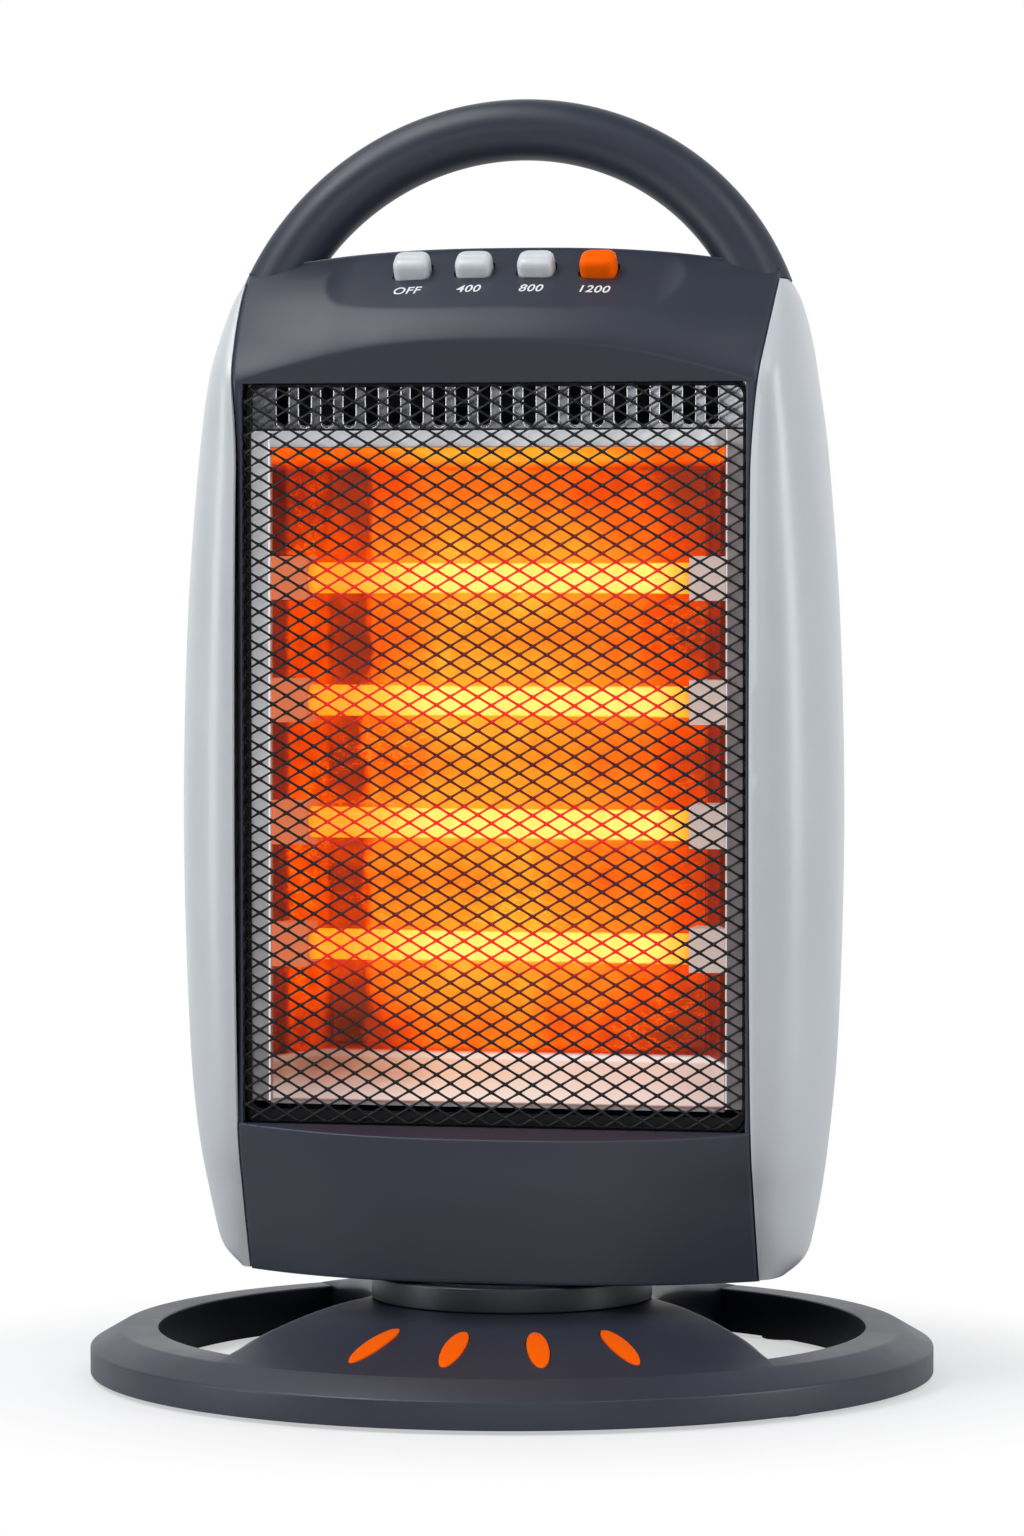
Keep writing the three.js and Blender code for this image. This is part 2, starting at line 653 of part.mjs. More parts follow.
function swivelCollar() {
  const bore = SPINDLE_R + SEAT_GAP;
  return turned(
    [
      [bore, COLLAR_BOTTOM],
      [bore + WALL, COLLAR_BOTTOM],
      [bore + WALL, COLLAR_TOP - WALL],
      [COLLAR_R - WALL, COLLAR_TOP - WALL],
      [COLLAR_R - WALL, COLLAR_BOTTOM],
      [COLLAR_R, COLLAR_BOTTOM],
      [COLLAR_R, COLLAR_TOP - COLLAR_EDGE],
      [COLLAR_R - COLLAR_EDGE, COLLAR_TOP],
      [bore, COLLAR_TOP],
    ],
    32,
  );
}

const swivelWasher = () =>
  tube(WASHER_R, SPINDLE_R + SEAT_GAP, WASHER_BOTTOM, WASHER_BOTTOM + WASHER_THICK, 32);

function swivelTurntable() {
  return turned(
    [
      [SPINDLE_BORE_R, SPINDLE_FOOT],
      [SPINDLE_R, SPINDLE_FOOT],
      [SPINDLE_R, TURNTABLE_BOTTOM],
      [TURNTABLE_R, TURNTABLE_BOTTOM],
      [TURNTABLE_R, TURNTABLE_TOP],
      [SPINDLE_BORE_R, TURNTABLE_TOP],
    ],
    32,
  );
}

// The ring that holds the head down, with the tab that meets the stop ribs.
function retainingRing() {
  const bore = SPINDLE_R + SEAT_GAP;
  const half = STOP_TAB_WIDTH / 2;
  const tab = box(RETAINER_R - 2, STOP_TAB_REACH, -half, half, RETAINER_BOTTOM, RETAINER_TOP);
  return tube(RETAINER_R, bore, RETAINER_BOTTOM, RETAINER_TOP, 32).add(tab);
}

// ---------------------------------------------------------------- head core

const coreHalfAt = (z) =>
  CORE_HALF + CORE_FLARE * THREE.MathUtils.smoothstep(z, CORE_FLARE_FROM, RIDGE_SIDE_Z);

// The core's closed profile: pairs of [y, z] points, at its side and in its middle.
function coreProfile() {
  const ridges = [RIDGE_SIDE_Z, RIDGE_CENTRE_Z];
  const top = TOP_PROFILE.map((pair) => pair.map(([y, drop], i) => [y, ridges[i] - drop]));
  const front = FRONT_PROFILE.map(([z, side, middle]) => [[side, z], [middle, z]]);
  const back = BACK_PROFILE.map(([z, side, middle], i) => [[side, z], [middle, z + BACK_CROWN[i]]]);
  const smooth = (pairs, which, steps) =>
    new THREE.SplineCurve(
      pairs.map((pair) => new THREE.Vector2(pair[which][0], pair[which][1])),
    ).getPoints(steps);
  const loops = [0, 1].map((which) => [
    ...smooth([...front, ...top], which, RISE_STEPS),
    ...smooth([top.at(-1), ...back], which, FALL_STEPS).slice(1),
  ]);
  return loops[0].map((side, i) => ({ side, middle: loops[1][i] }));
}

// A loop of 2-D points moved inwards by a distance, each along the mean of its two normals.
function insetLoop(points, distance) {
  const ccw = THREE.ShapeUtils.area(points) > 0 ? 1 : -1;
  return points.map((p, i) => {
    const before = points[(i + points.length - 1) % points.length];
    const after = points[(i + 1) % points.length];
    const n1 = new THREE.Vector2(before.y - p.y, p.x - before.x).normalize();
    const n2 = new THREE.Vector2(p.y - after.y, after.x - p.x).normalize();
    const mean = n1.clone().add(n2).multiplyScalar(0.5);
    const reach = (ccw * distance) / Math.max(mean.lengthSq(), 0.3);
    return p.clone().addScaledVector(mean, reach);
  });
}

// The head's dark core as one solid, drawn in by inset on every side.
function coreSolid(inset) {
  const profile = coreProfile();
  const rings = [];
  for (let s = 0; s <= CORE_STATIONS; s++) {
    const t = (2 * s) / CORE_STATIONS - 1;
    const swell = 1 - Math.abs(t) ** BULGE_POWER;
    const loop = profile.map(({ side, middle }) => side.clone().lerp(middle, swell));
    const inner = insetLoop(loop, inset);
    rings.push(loop.map((p, i) => [t * (coreHalfAt(p.y) - inset), inner[i].x, inner[i].y]));
  }
  return loft(rings, [1, 2]);
}

// A frame of reference on the control surface: x across, y down the slope, z out of it.
const controlAngle = rad(CONTROL_SLOPE);
const upSlope = (distance, out) => [
  CREASE_Y + distance * Math.cos(controlAngle) - out * Math.sin(controlAngle),
  CREASE_Z + distance * Math.sin(controlAngle) + out * Math.cos(controlAngle),
];

// Everything above the arched control surface, moved down by a depth.
function aboveControl(depth) {
  const reach = 130;
  const arch = [];
  for (let x = -reach; x <= reach; x += 10) {
    arch.push([x, -CONTROL_ARCH * (x / CONTROL_HALF) ** 2 - depth]);
  }
  const shape = outline([...arch, [reach, 60], [-reach, 60]]);
  const geometry = new THREE.ExtrudeGeometry(shape, { ...NO_BEVEL, depth: 160 });
  geometry.rotateX(Math.PI / 2);
  geometry.translate(0, 80, 0);
  geometry.rotateX(controlAngle);
  geometry.translate(0, CREASE_Y, CREASE_Z);
  return solid(geometry);
}

// The air in front of the brow and the sill, moved back by a depth.
function beforeWindow(depth) {
  const far = -90;
  const face = WINDOW_FACE_Y + depth;
  const brow = 60;
  const sill = 20;
  return runAcross(
    outline([
      [face, WINDOW_BOTTOM - depth],
      [face, WINDOW_TOP + depth],
      [face - brow * Math.tan(rad(BROW_LEAN)), WINDOW_TOP + depth + brow],
      [far, WINDOW_TOP + depth + brow],
      [far, WINDOW_BOTTOM - depth - sill * Math.tan(rad(SILL_SLOPE))],
      [face - sill, WINDOW_BOTTOM - depth - sill * Math.tan(rad(SILL_SLOPE))],
    ]),
    -WINDOW_HALF - 20,
    WINDOW_HALF + 20,
  );
}

// The brow's cut stops under the crest line, so it never reaches the control surface.
function windowRelief(depth) {
  const below = box(-200, 200, -200, 0, 0, CREASE_Z - 6);
  return beforeWindow(depth).intersect(below);
}

function headShell() {
  const outer = coreSolid(0).subtract(aboveControl(0)).subtract(windowRelief(0));
  const inner = coreSolid(WALL).subtract(aboveControl(WALL)).subtract(windowRelief(WALL));
  const window = box(-WINDOW_HALF, WINDOW_HALF, -120, MOUTH_Y, WINDOW_BOTTOM, WINDOW_TOP);
  const wireWay = disc(SPINDLE_BORE_R, 0, HEAD_BOTTOM + 20, 32);
  return outer.subtract(inner).subtract(window).subtract(wireWay);
}

// A block standing on the control surface round a key's middle.
function onControl(x, width, depth, low, high, radius) {
  const shape = roundedRectangle(-width / 2, width / 2, -depth / 2, depth / 2, radius);
  const settings = { ...NO_BEVEL, curveSegments: 2, depth: high - low };
  const geometry = new THREE.ExtrudeGeometry(shape, settings);
  geometry.translate(0, 0, low);
  geometry.rotateX(controlAngle);
  const [y, z] = upSlope(KEY_UPSLOPE, 0);
  geometry.translate(x, y, z);
  return solid(geometry);
}

const keyX = (i) => (i - (KEY_NAMES.length - 1) / 2) * KEY_PITCH;

function frontHousing(shell) {
  let front = shell.subtract(box(-200, 200, SPLIT_Y - SEAT_GAP / 2, 200, 0, 600));
  for (let i = 0; i < KEY_NAMES.length; i++) {
    const slot = onControl(keyX(i), KEY_WIDTH + 2 * SLIDE_GAP, KEY_DEPTH + 2 * SLIDE_GAP,
      -WALL - 8, 8, KEY_CORNER_R);
    front = front.subtract(slot);
  }
  return front;
}

// Rows of slots let air in low at the back and hot air out above.
function rearHousing(shell) {
  let rear = shell.subtract(box(-200, 200, -200, SPLIT_Y + SEAT_GAP / 2, 0, 600));
  for (const z of VENT_HEIGHTS) {
    for (const side of [-1, 1]) {
      const x = side * VENT_X;
      const slot = longSlot(x, z, VENT_LENGTH, VENT_HEIGHT, 0);
      rear = rear.subtract(runBack(slot, 20, 80));
    }
  }
  for (const z of POST_Z) {
    for (const side of [-1, 1]) {
      const post = disc(POST_R, 0, 60, 10).rotate([-90, 0, 0]);
      const place = [side * POST_X, SHIELD_BACK + SEAT_GAP, z];
      rear = rear.add(post.translate(place).intersect(coreSolid(WALL / 2)));
    }
  }
  return rear;
}

// ---------------------------------------------------------------- side panels

// Front and back of the core at its side, at a height: where a panel's two edges lie.
function coreEdges() {
  const side = coreProfile().map((p) => p.side);
  const ridge = side.reduce((best, p, i) => (p.y > side[best].y ? i : best), 0);
  const front = side.slice(0, ridge + 1);
  const back = side.slice(ridge).reverse();
  const at = (line, z) => {
    const next = Math.max(1, line.findIndex((p) => p.y >= z));
    const a = line[next - 1];
    const b = line[next];
    return THREE.MathUtils.mapLinear(z, a.y, b.y, a.x, b.x);
  };
  return (z) => [at(front, z), at(back, z)];
}

function panelWidths() {
  const line = PANEL_OUTLINE.map(([z, bulge]) => new THREE.Vector2(z, CORE_HALF + bulge));
  const curve = new THREE.SplineCurve(line);
  const points = curve.getPoints(80);
  return (z) => {
    const next = Math.max(1, points.findIndex((p) => p.x >= z));
    const a = points[next - 1];
    const b = points[next];
    return THREE.MathUtils.mapLinear(z, a.x, b.x, a.y, b.y);
  };
}

// A D-shaped column between two heights, its flat side on the core, drawn in by inset.
function panelColumn(inset) {
  const edges = coreEdges();
  const widths = panelWidths();
  const low = PANEL_OUTLINE[0][0] + inset;
  const high = PANEL_OUTLINE.at(-1)[0] - inset;
  const rings = [];
  for (let s = 0; s <= PANEL_STEPS; s++) {
    const z = THREE.MathUtils.lerp(low, high, (1 - Math.cos((Math.PI * s) / PANEL_STEPS)) / 2);
    const [front, back] = edges(z);
    const middle = (front + back) / 2;
    const depth = Math.max((back - front) / 2 - inset, 0.5);
    const flat = coreHalfAt(z) + SEAT_GAP - (inset ? 1 : 0);
    const bulge = Math.max(widths(z) - inset - flat, 0.4);
    const ring = [];
    for (let i = 0; i <= PANEL_SIDES; i++) {
      const angle = (Math.PI * i) / PANEL_SIDES;
      ring.push([flat + bulge * Math.sin(angle), middle - depth * Math.cos(angle), z]);
    }
    rings.push(ring);
  }
  return loft(rings, [0, 1]);
}

function sidePanel() {
  return panelColumn(0).subtract(panelColumn(WALL)).subtract(coreSolid(-SEAT_GAP));
}

// ---------------------------------------------------------------- handle

class LeaningArc extends THREE.Curve {
  getPoint(t, target = new THREE.Vector3()) {
    const angle = rad(THREE.MathUtils.lerp(-HANDLE_END, HANDLE_END, t));
    const rise = HANDLE_ARC_R * Math.cos(angle);
    return target.set(
      HANDLE_ARC_R * Math.sin(angle),
      HANDLE_CENTRE_Y + rise * Math.sin(rad(HANDLE_LEAN)),
      HANDLE_CENTRE_Z + rise * Math.cos(rad(HANDLE_LEAN)),
    );
  }
}

// The handle ends on the core's upper face.
function handle() {
  const section = new THREE.Shape();
  for (let i = 0; i < HANDLE_SIDES; i++) {
    const angle = (2 * Math.PI * i) / HANDLE_SIDES;
    const x = HANDLE_TUBE_R * Math.cos(angle);
    const y = HANDLE_TUBE_R * Math.sin(angle);
    if (i) section.lineTo(x, y);
    else section.moveTo(x, y);
  }
  const bar = new THREE.ExtrudeGeometry(section, {
    steps: HANDLE_STEPS,
    extrudePath: new LeaningArc(),
    bevelEnabled: false,
  });
  const parts = solid(bar).subtract(coreSolid(-SEAT_GAP)).decompose();
  return parts.reduce((best, part) => (part.volume() > best.volume() ? part : best));
}

// ---------------------------------------------------------------- keys and switch

function keyCap(i) {
  const crown = KEY_CROWN;
  const x = keyX(i);
  const body = onControl(x, KEY_WIDTH, KEY_DEPTH, -KEY_SKIRT, KEY_HEIGHT - crown, KEY_CORNER_R);
  const top = onControl(x, KEY_WIDTH - crown, KEY_DEPTH - crown, 0, KEY_HEIGHT, KEY_CORNER_R);
  const { width, depth, length } = KEY_STEM;
  const stem = onControl(x, width, depth, -KEY_SKIRT - length, -KEY_SKIRT + 1, 0.8);
  return body.add(top).add(stem);
}

// A four-gang piano switch hung under the control surface, open where the stems enter.
function switchBlock() {
  const top = -KEY_SKIRT - KEY_TRAVEL - SLIDE_GAP;
  const width = KEY_PITCH * (KEY_NAMES.length - 1) + KEY_WIDTH + 8;
  let block = onControl(0, width, SWITCH_DEPTH, top - SWITCH_HEIGHT, top, 1.5);
  for (let i = 0; i < KEY_NAMES.length; i++) {
    const well = onControl(keyX(i), KEY_STEM.width + 2 * SLIDE_GAP,
      KEY_STEM.depth + 2 * SLIDE_GAP, top - KEY_STEM.length - KEY_TRAVEL, top + 1, 0.8);
    block = block.subtract(well);
  }
  const lug = SWITCH_LUG;
  const lugX = width / 2 + lug.width / 2 - 1;
  const lugTop = -WALL - SEAT_GAP - CONTROL_ARCH * ((lugX + lug.width / 2 + 1) / CONTROL_HALF) ** 2;
  for (const side of [-1, 1]) {
    block = block.add(onControl(side * lugX, lug.width, lug.depth, top - lug.height, lugTop, 1));
  }
  return block;
}

// ---------------------------------------------------------------- guard

// One diamond of the net, as a prism through the guard's face.
function diamond(x, z, halfWide, halfHigh) {
  const shape = outline([[x - halfWide, z], [x, z - halfHigh], [x + halfWide, z], [x, z + halfHigh]]);
  const geometry = new THREE.ExtrudeGeometry(shape, { ...NO_BEVEL, depth: 4 * GUARD_THICK });
  geometry.rotateX(Math.PI / 2);
  geometry.translate(0, GUARD_FRONT_Y + 3 * GUARD_THICK, 0);
  return geometry;
}

function guard() {
  const low = WINDOW_BOTTOM + GUARD_GAP;
  const high = WINDOW_TOP - GUARD_GAP;
  const wide = (2 * (GUARD_HALF - GUARD_BORDER)) / GUARD_COLUMNS;
  const tall = (high - low - 2 * GUARD_BORDER) / GUARD_ROWS;
  const slant = Math.hypot(wide, tall) / 2;
  const halfWide = wide / 2 - (GUARD_STRAND * slant) / tall;
  const halfHigh = tall / 2 - (GUARD_STRAND * slant) / wide;
  const gaps = [];
  for (let row = 0; row <= 2 * GUARD_ROWS; row++) {
    for (let column = row % 2; column <= 2 * GUARD_COLUMNS; column += 2) {
      const x = -GUARD_HALF + GUARD_BORDER + (column * wide) / 2;
      const z = low + GUARD_BORDER + (row * tall) / 2;
      gaps.push(diamond(x, z, halfWide, halfHigh));
    }
  }
  const frame = (inset, y0, y1) =>
    runBack(
      roundedRectangle(-GUARD_HALF + inset, GUARD_HALF - inset, low + inset, high - inset,
        GUARD_CORNER_R - inset / 2),
      y0,
      y1,
    );
  const face = frame(0, GUARD_FRONT_Y, GUARD_FRONT_Y + GUARD_THICK);
  const field = frame(GUARD_BORDER, GUARD_FRONT_Y - 2, GUARD_FRONT_Y + 3);
  const net = face.subtract(solid(mergeGeometries(gaps)).intersect(field));
  const back = GUARD_FRONT_Y + GUARD_RETURN;
  const rim = frame(0, GUARD_FRONT_Y + GUARD_THICK / 2, back);
  return net.add(rim.subtract(frame(GUARD_THICK, GUARD_FRONT_Y - 1, back + 1)));
}

// ---------------------------------------------------------------- reflector

// Half-width inside the splayed side plates at a depth.
const reflectorHalfAt = (y) =>
  THREE.MathUtils.mapLinear(y, MOUTH_Y, REFLECTOR_BACK_Y, MOUTH_HALF, REFLECTOR_BACK_HALF);

// The bent sheet that makes the floor, the back and the roof of the reflector.
function reflectorPan() {
  const inside = [
    [MOUTH_Y, MOUTH_BOTTOM],
    [REFLECTOR_BACK_Y, REFLECTOR_BACK_BOTTOM],
    [REFLECTOR_BACK_Y, REFLECTOR_BACK_TOP],
    [MOUTH_Y, MOUTH_TOP],
  ];
  const sheet = outline([
    ...inside,
    [MOUTH_Y, MOUTH_TOP + FLANGE],
    [MOUTH_Y + SHEET, MOUTH_TOP + FLANGE],
    [MOUTH_Y + SHEET, MOUTH_TOP + SHEET],
    [REFLECTOR_BACK_Y + SHEET, REFLECTOR_BACK_TOP + SHEET / 2],
    [REFLECTOR_BACK_Y + SHEET, REFLECTOR_BACK_BOTTOM - SHEET / 2],
    [MOUTH_Y, MOUTH_BOTTOM - SHEET],
  ]);
  const splay = (y) => reflectorHalfAt(y) - SEAT_GAP;
  const front = MOUTH_Y - 1;
  const back = REFLECTOR_BACK_Y + SHEET + 1;
  const between = raised(
    outline([
      [-splay(front), front],
      [splay(front), front],
      [splay(back), back],
      [-splay(back), back],
    ]),
    MOUTH_BOTTOM - 10,
    BAFFLE_TOP,
  );
  return runAcross(sheet, -MOUTH_HALF, MOUTH_HALF).intersect(between);
}

const lampZ = (i) => LAMP_TOP_Z - i * LAMP_PITCH;

// A square hole for a lamp's ceramic end, through anything beside the reflector.
function ceramicHole(i) {
  const half = CERAMIC_SIDE / 2 + SEAT_GAP;
  const z = lampZ(i);
  return box(LAMP_HEATED_HALF - 20, 120, LAMP_Y - half, LAMP_Y + half, z - half, z + half);
}

// A splayed side plate with its front flange, on the +X side.
function reflectorSide() {
  const back = REFLECTOR_BACK_Y + SHEET;
  const plate = raised(
    outline([
      [MOUTH_HALF, MOUTH_Y],
      [FLANGE_EDGE, MOUTH_Y],
      [FLANGE_EDGE, MOUTH_Y + SHEET],
      [reflectorHalfAt(MOUTH_Y + SHEET) + SHEET, MOUTH_Y + SHEET],
      [reflectorHalfAt(back) + SHEET, back],
      [reflectorHalfAt(back), back],
    ]),
    MOUTH_BOTTOM,
    MOUTH_TOP + FLANGE,
  );
  let side = plate;
  for (let i = 0; i < LAMP_COUNT; i++) side = side.subtract(ceramicHole(i));
  return side;
}

// The polished strip with upright slots above the mouth.
function ventBaffle() {
  const plate = roundedRectangle(-FLANGE_EDGE, FLANGE_EDGE, BAFFLE_BOTTOM, BAFFLE_TOP, 0.5);
  for (let i = 0; i < BAFFLE_SLOTS; i++) {
    const x = (i - (BAFFLE_SLOTS - 1) / 2) * BAFFLE_PITCH;
    const middle = BAFFLE_BOTTOM + BAFFLE_MARGIN + BAFFLE_SLOT_LENGTH / 2;
    plate.holes.push(longSlot(x, middle, BAFFLE_SLOT_LENGTH, BAFFLE_SLOT_WIDTH, 1));
  }
  return runBack(plate, MOUTH_Y, MOUTH_Y + SHEET);
}

// The steel shield behind the reflector, with flanges that come forward beside it.
function heatShield() {
  const thick = SHIELD_THICK;
  const tray = outline([
    [-SHIELD_HALF, SHIELD_TIP_Y],
    [-SHIELD_HALF + thick, SHIELD_TIP_Y],
    [-SHIELD_HALF + thick, SHIELD_Y],
    [SHIELD_HALF - thick, SHIELD_Y],
    [SHIELD_HALF - thick, SHIELD_TIP_Y],
    [SHIELD_HALF, SHIELD_TIP_Y],
    [SHIELD_HALF, SHIELD_Y + thick],
    [-SHIELD_HALF, SHIELD_Y + thick],
  ]);
  return raised(tray, MOUTH_BOTTOM + 4, MOUTH_TOP);
}

// ---------------------------------------------------------------- lamps

// A turned part laid along X.
const alongX = (manifold) => manifold.rotate([0, 90, 0]);

const atLamp = (i) => [0, LAMP_Y, lampZ(i)];

function lampTube() {
  const half = LAMP_HEATED_HALF + CERAMIC_SOCKET - SEAT_GAP;
  return alongX(tube(LAMP_R, LAMP_R - LAMP_GLASS, -half, half, 12));
}

function lampFilament() {
  const half = LAMP_HEATED_HALF + CERAMIC_SOCKET - SEAT_GAP;
  return alongX(disc(FILAMENT_R, -half, half, 8));
}

// A ceramic end with the socket that holds the glass, on the +X side.
function lampCeramic() {
  const half = CERAMIC_SIDE / 2;
  const block = box(LAMP_HEATED_HALF, CERAMIC_END, -half, half, -half, half);
  const socketEnd = LAMP_HEATED_HALF + CERAMIC_SOCKET;
  return block.subtract(alongX(disc(LAMP_R + SEAT_GAP, LAMP_HEATED_HALF - 1, socketEnd, 12)));
}

// The steel strip outside the reflector through which the ceramic ends pass.
function lampBracket() {
  const half = CERAMIC_SIDE / 2;
  const margin = half + BRACKET_MARGIN;
  let strip = box(BRACKET_X, BRACKET_X + BRACKET_THICK, LAMP_Y - half, LAMP_Y + half + 5,
    lampZ(LAMP_COUNT - 1) - margin, lampZ(0) + margin);
  for (let i = 0; i < LAMP_COUNT; i++) strip = strip.subtract(ceramicHole(i));
  return strip;
}

// ---------------------------------------------------------------- terminal block and cut-out

// The terminal block lies on the head's floor.
function terminalBlock() {
  const { x, y, width, depth, height, ways, pitch, wayHalf, wayLow, wayHigh } = TERMINAL;
  const floor = HEAD_BOTTOM + WALL + SEAT_GAP;
  const front = y - depth / 2;
  let block = box(x - width / 2, x + width / 2, front, front + depth, floor, floor + height);
  for (let i = 0; i < ways; i++) {
    const way = x + (i - (ways - 1) / 2) * pitch;
    const hole = box(way - wayHalf, way + wayHalf, front - 1, front + depth + 1,
      floor + wayLow, floor + wayHigh);
    block = block.subtract(hole);
  }
  return block;
}

// The thermal cut-out, a can with a flange, is fixed to the back of the shield.
function thermalCutout() {
  const { z, radius, height, flangeHalf, flangeRise, flangeThick } = CUTOUT;
  const can = disc(radius, 0, height, 14).rotate([-90, 0, 0]);
  const flange = roundedRectangle(-flangeHalf, flangeHalf, -flangeRise, flangeRise, 3);
  return can.add(runBack(flange, 0, flangeThick)).translate([0, SHIELD_BACK + SEAT_GAP, z]);
}

// ---------------------------------------------------------------- assembly

const M = MATERIALS;
const heater = new THREE.Group();

const base = new THREE.Group();
base.add(piece("base_shell", baseShell(), M.darkPlastic));
base.add(piece("base_underplate", baseUnderplate(), M.blackPlastic));
for (let i = 0; i < INLAY_COUNT; i++) {
  base.add(piece(`base_inlay_${i + 1}`, inlay(i), M.orangePlastic));
}
FOOT_ANGLES.forEach((angle, i) => {
  const mesh = piece(`foot_${i + 1}`, foot(), M.rubber);
  mesh.position.set(...footPlace(angle));
  base.add(mesh);
});
base.add(piece("cord_gland", cordGland(), M.rubber));
base.add(piece("swivel_collar", swivelCollar(), M.darkPlastic));
base.add(piece("swivel_washer", swivelWasher(), M.steel));
base.add(piece("tip_switch_body", tipSwitchBody(), M.blackPlastic));
base.add(piece("tip_switch_plunger", tipPlunger(), M.greyPlastic));
heater.add(base);

const head = new THREE.Group();
head.rotation.z = rad(HEAD_TURN);
head.add(piece("swivel_turntable", swivelTurntable(), M.blackPlastic));
head.add(piece("retaining_ring", retainingRing(), M.steel));
const shell = headShell();
head.add(piece("front_housing", frontHousing(shell), M.darkPlastic));
head.add(piece("rear_housing", rearHousing(shell), M.darkPlastic));
const panel = sidePanel();
head.add(piece("side_panel_right", panel, M.silverPlastic));
head.add(piece("side_panel_left", panel.mirror([1, 0, 0]), M.silverPlastic));
head.add(piece("handle", handle(), M.darkPlastic));
KEY_NAMES.forEach((name, i) => {
  const last = i === KEY_NAMES.length - 1;
  head.add(piece(`key_${name}`, keyCap(i), last ? M.orangePlastic : M.greyPlastic));
});
head.add(piece("switch_block", switchBlock(), M.blackPlastic));
head.add(piece("guard", guard(), M.guardPaint));
head.add(piece("reflector_pan", reflectorPan(), M.aluminium));
const reflectorPlate = reflectorSide();
head.add(piece("reflector_side_right", reflectorPlate, M.aluminium));
head.add(piece("reflector_side_left", reflectorPlate.mirror([1, 0, 0]), M.aluminium));
head.add(piece("vent_baffle", ventBaffle(), M.aluminium));
head.add(piece("heat_shield", heatShield(), M.steel));
const bracket = lampBracket();
head.add(piece("lamp_bracket_right", bracket, M.steel));
head.add(piece("lamp_bracket_left", bracket.mirror([1, 0, 0]), M.steel));
const ceramic = lampCeramic();
for (let i = 0; i < LAMP_COUNT; i++) {
  const lamp = new THREE.Group();
  lamp.position.set(...atLamp(i));
  lamp.add(piece(`lamp_tube_${i + 1}`, lampTube(), M.quartz));
  lamp.add(piece(`lamp_filament_${i + 1}`, lampFilament(), M.tungsten));
  lamp.add(piece(`lamp_ceramic_right_${i + 1}`, ceramic, M.ceramic));
  lamp.add(piece(`lamp_ceramic_left_${i + 1}`, ceramic.mirror([1, 0, 0]), M.ceramic));
  head.add(lamp);
}
head.add(piece("terminal_block", terminalBlock(), M.ceramic));
head.add(piece("thermal_cutout", thermalCutout(), M.steel));
heater.add(head);

export default heater;
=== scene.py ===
"""The looks of a halogen heater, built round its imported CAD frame.

Lengths are in millimetres, and the head's pieces are drawn square to its own front, with X to the right,
Y to the back and Z up. Materials measure in metres.
"""

import math

import bpy
import numpy as np
from mathutils import Matrix, Vector


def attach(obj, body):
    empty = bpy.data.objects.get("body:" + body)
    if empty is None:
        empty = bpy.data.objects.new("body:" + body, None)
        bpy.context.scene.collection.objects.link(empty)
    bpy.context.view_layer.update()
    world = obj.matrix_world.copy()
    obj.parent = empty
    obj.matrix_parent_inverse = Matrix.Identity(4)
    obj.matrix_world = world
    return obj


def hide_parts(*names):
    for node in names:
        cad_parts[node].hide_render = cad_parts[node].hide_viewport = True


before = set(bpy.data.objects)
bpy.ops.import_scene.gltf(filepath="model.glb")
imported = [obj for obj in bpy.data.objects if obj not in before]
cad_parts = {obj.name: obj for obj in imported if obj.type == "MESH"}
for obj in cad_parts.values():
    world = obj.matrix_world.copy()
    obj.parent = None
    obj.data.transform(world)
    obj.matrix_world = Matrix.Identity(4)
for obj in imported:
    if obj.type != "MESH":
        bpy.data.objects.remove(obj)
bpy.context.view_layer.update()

# -------------------- dimensions, in millimetres

MM = 0.001
TURN = math.radians(-9)  # how the head stands on its base
HEAD_PLACE = Matrix.Rotation(TURN, 4, "Z")
WALL = 2.3

RING_OUTER, RING_BEVEL, RING_INNER = 165.0, 153.3, 138.5
RING_SIDE_TOP, RING_BEVEL_TOP, RING_TOP, RING_BOTTOM = 12.0, 18.8, 19.2, 1.5
RING_ROUND = 0.8
DOME_TOP, DOME_FLAT, DOME_CURVE = 29.8, 58.0, 1.6
DOME_ROUND, DOME_SHARP, ROUND_REACH = 4.5, 0.3, 24.0  # rounding along the bridge's sides and at their ends
BRIDGE_TOE, BRIDGE_HEEL, BRIDGE_FOOT = 0.68, 0.56, 2.0  # half-widths at the ring, as shares of its bevel
BRIDGE_SIDE = [(98, -86), (88, -62), (78, -40), (69, -21), (58, 2), (57, 30), (65, 72)]
PLATE_LOW, PLATE_HIGH, PLATE_INSET = 1.5, 3.5, 3.2
OVAL_AT, OVAL_LONG, OVAL_WIDE, OVAL_GAP = 116.0, 23.8, 4.2, 0.35
OVAL_PITCH, OVAL_TILT = 15.6, -0.26  # degrees between ovals; how far each turns back from the middle
OVAL_RIM = [(1.0, -1.2), (1.0, 0.1), (0.985, 0.45), (0.94, 0.68), (0.86, 0.80), (0.7, 0.9), (0.45, 0.98),
            (0.02, 1.0)]
OVAL_RISE = 0.9
COLLAR_LINE = [(20.3, 37.2), (50.6, 37.2), (50.9, 39.6), (54.4, 39.6), (55, 39.0), (55, 30.1), (52.7, 30.1)]

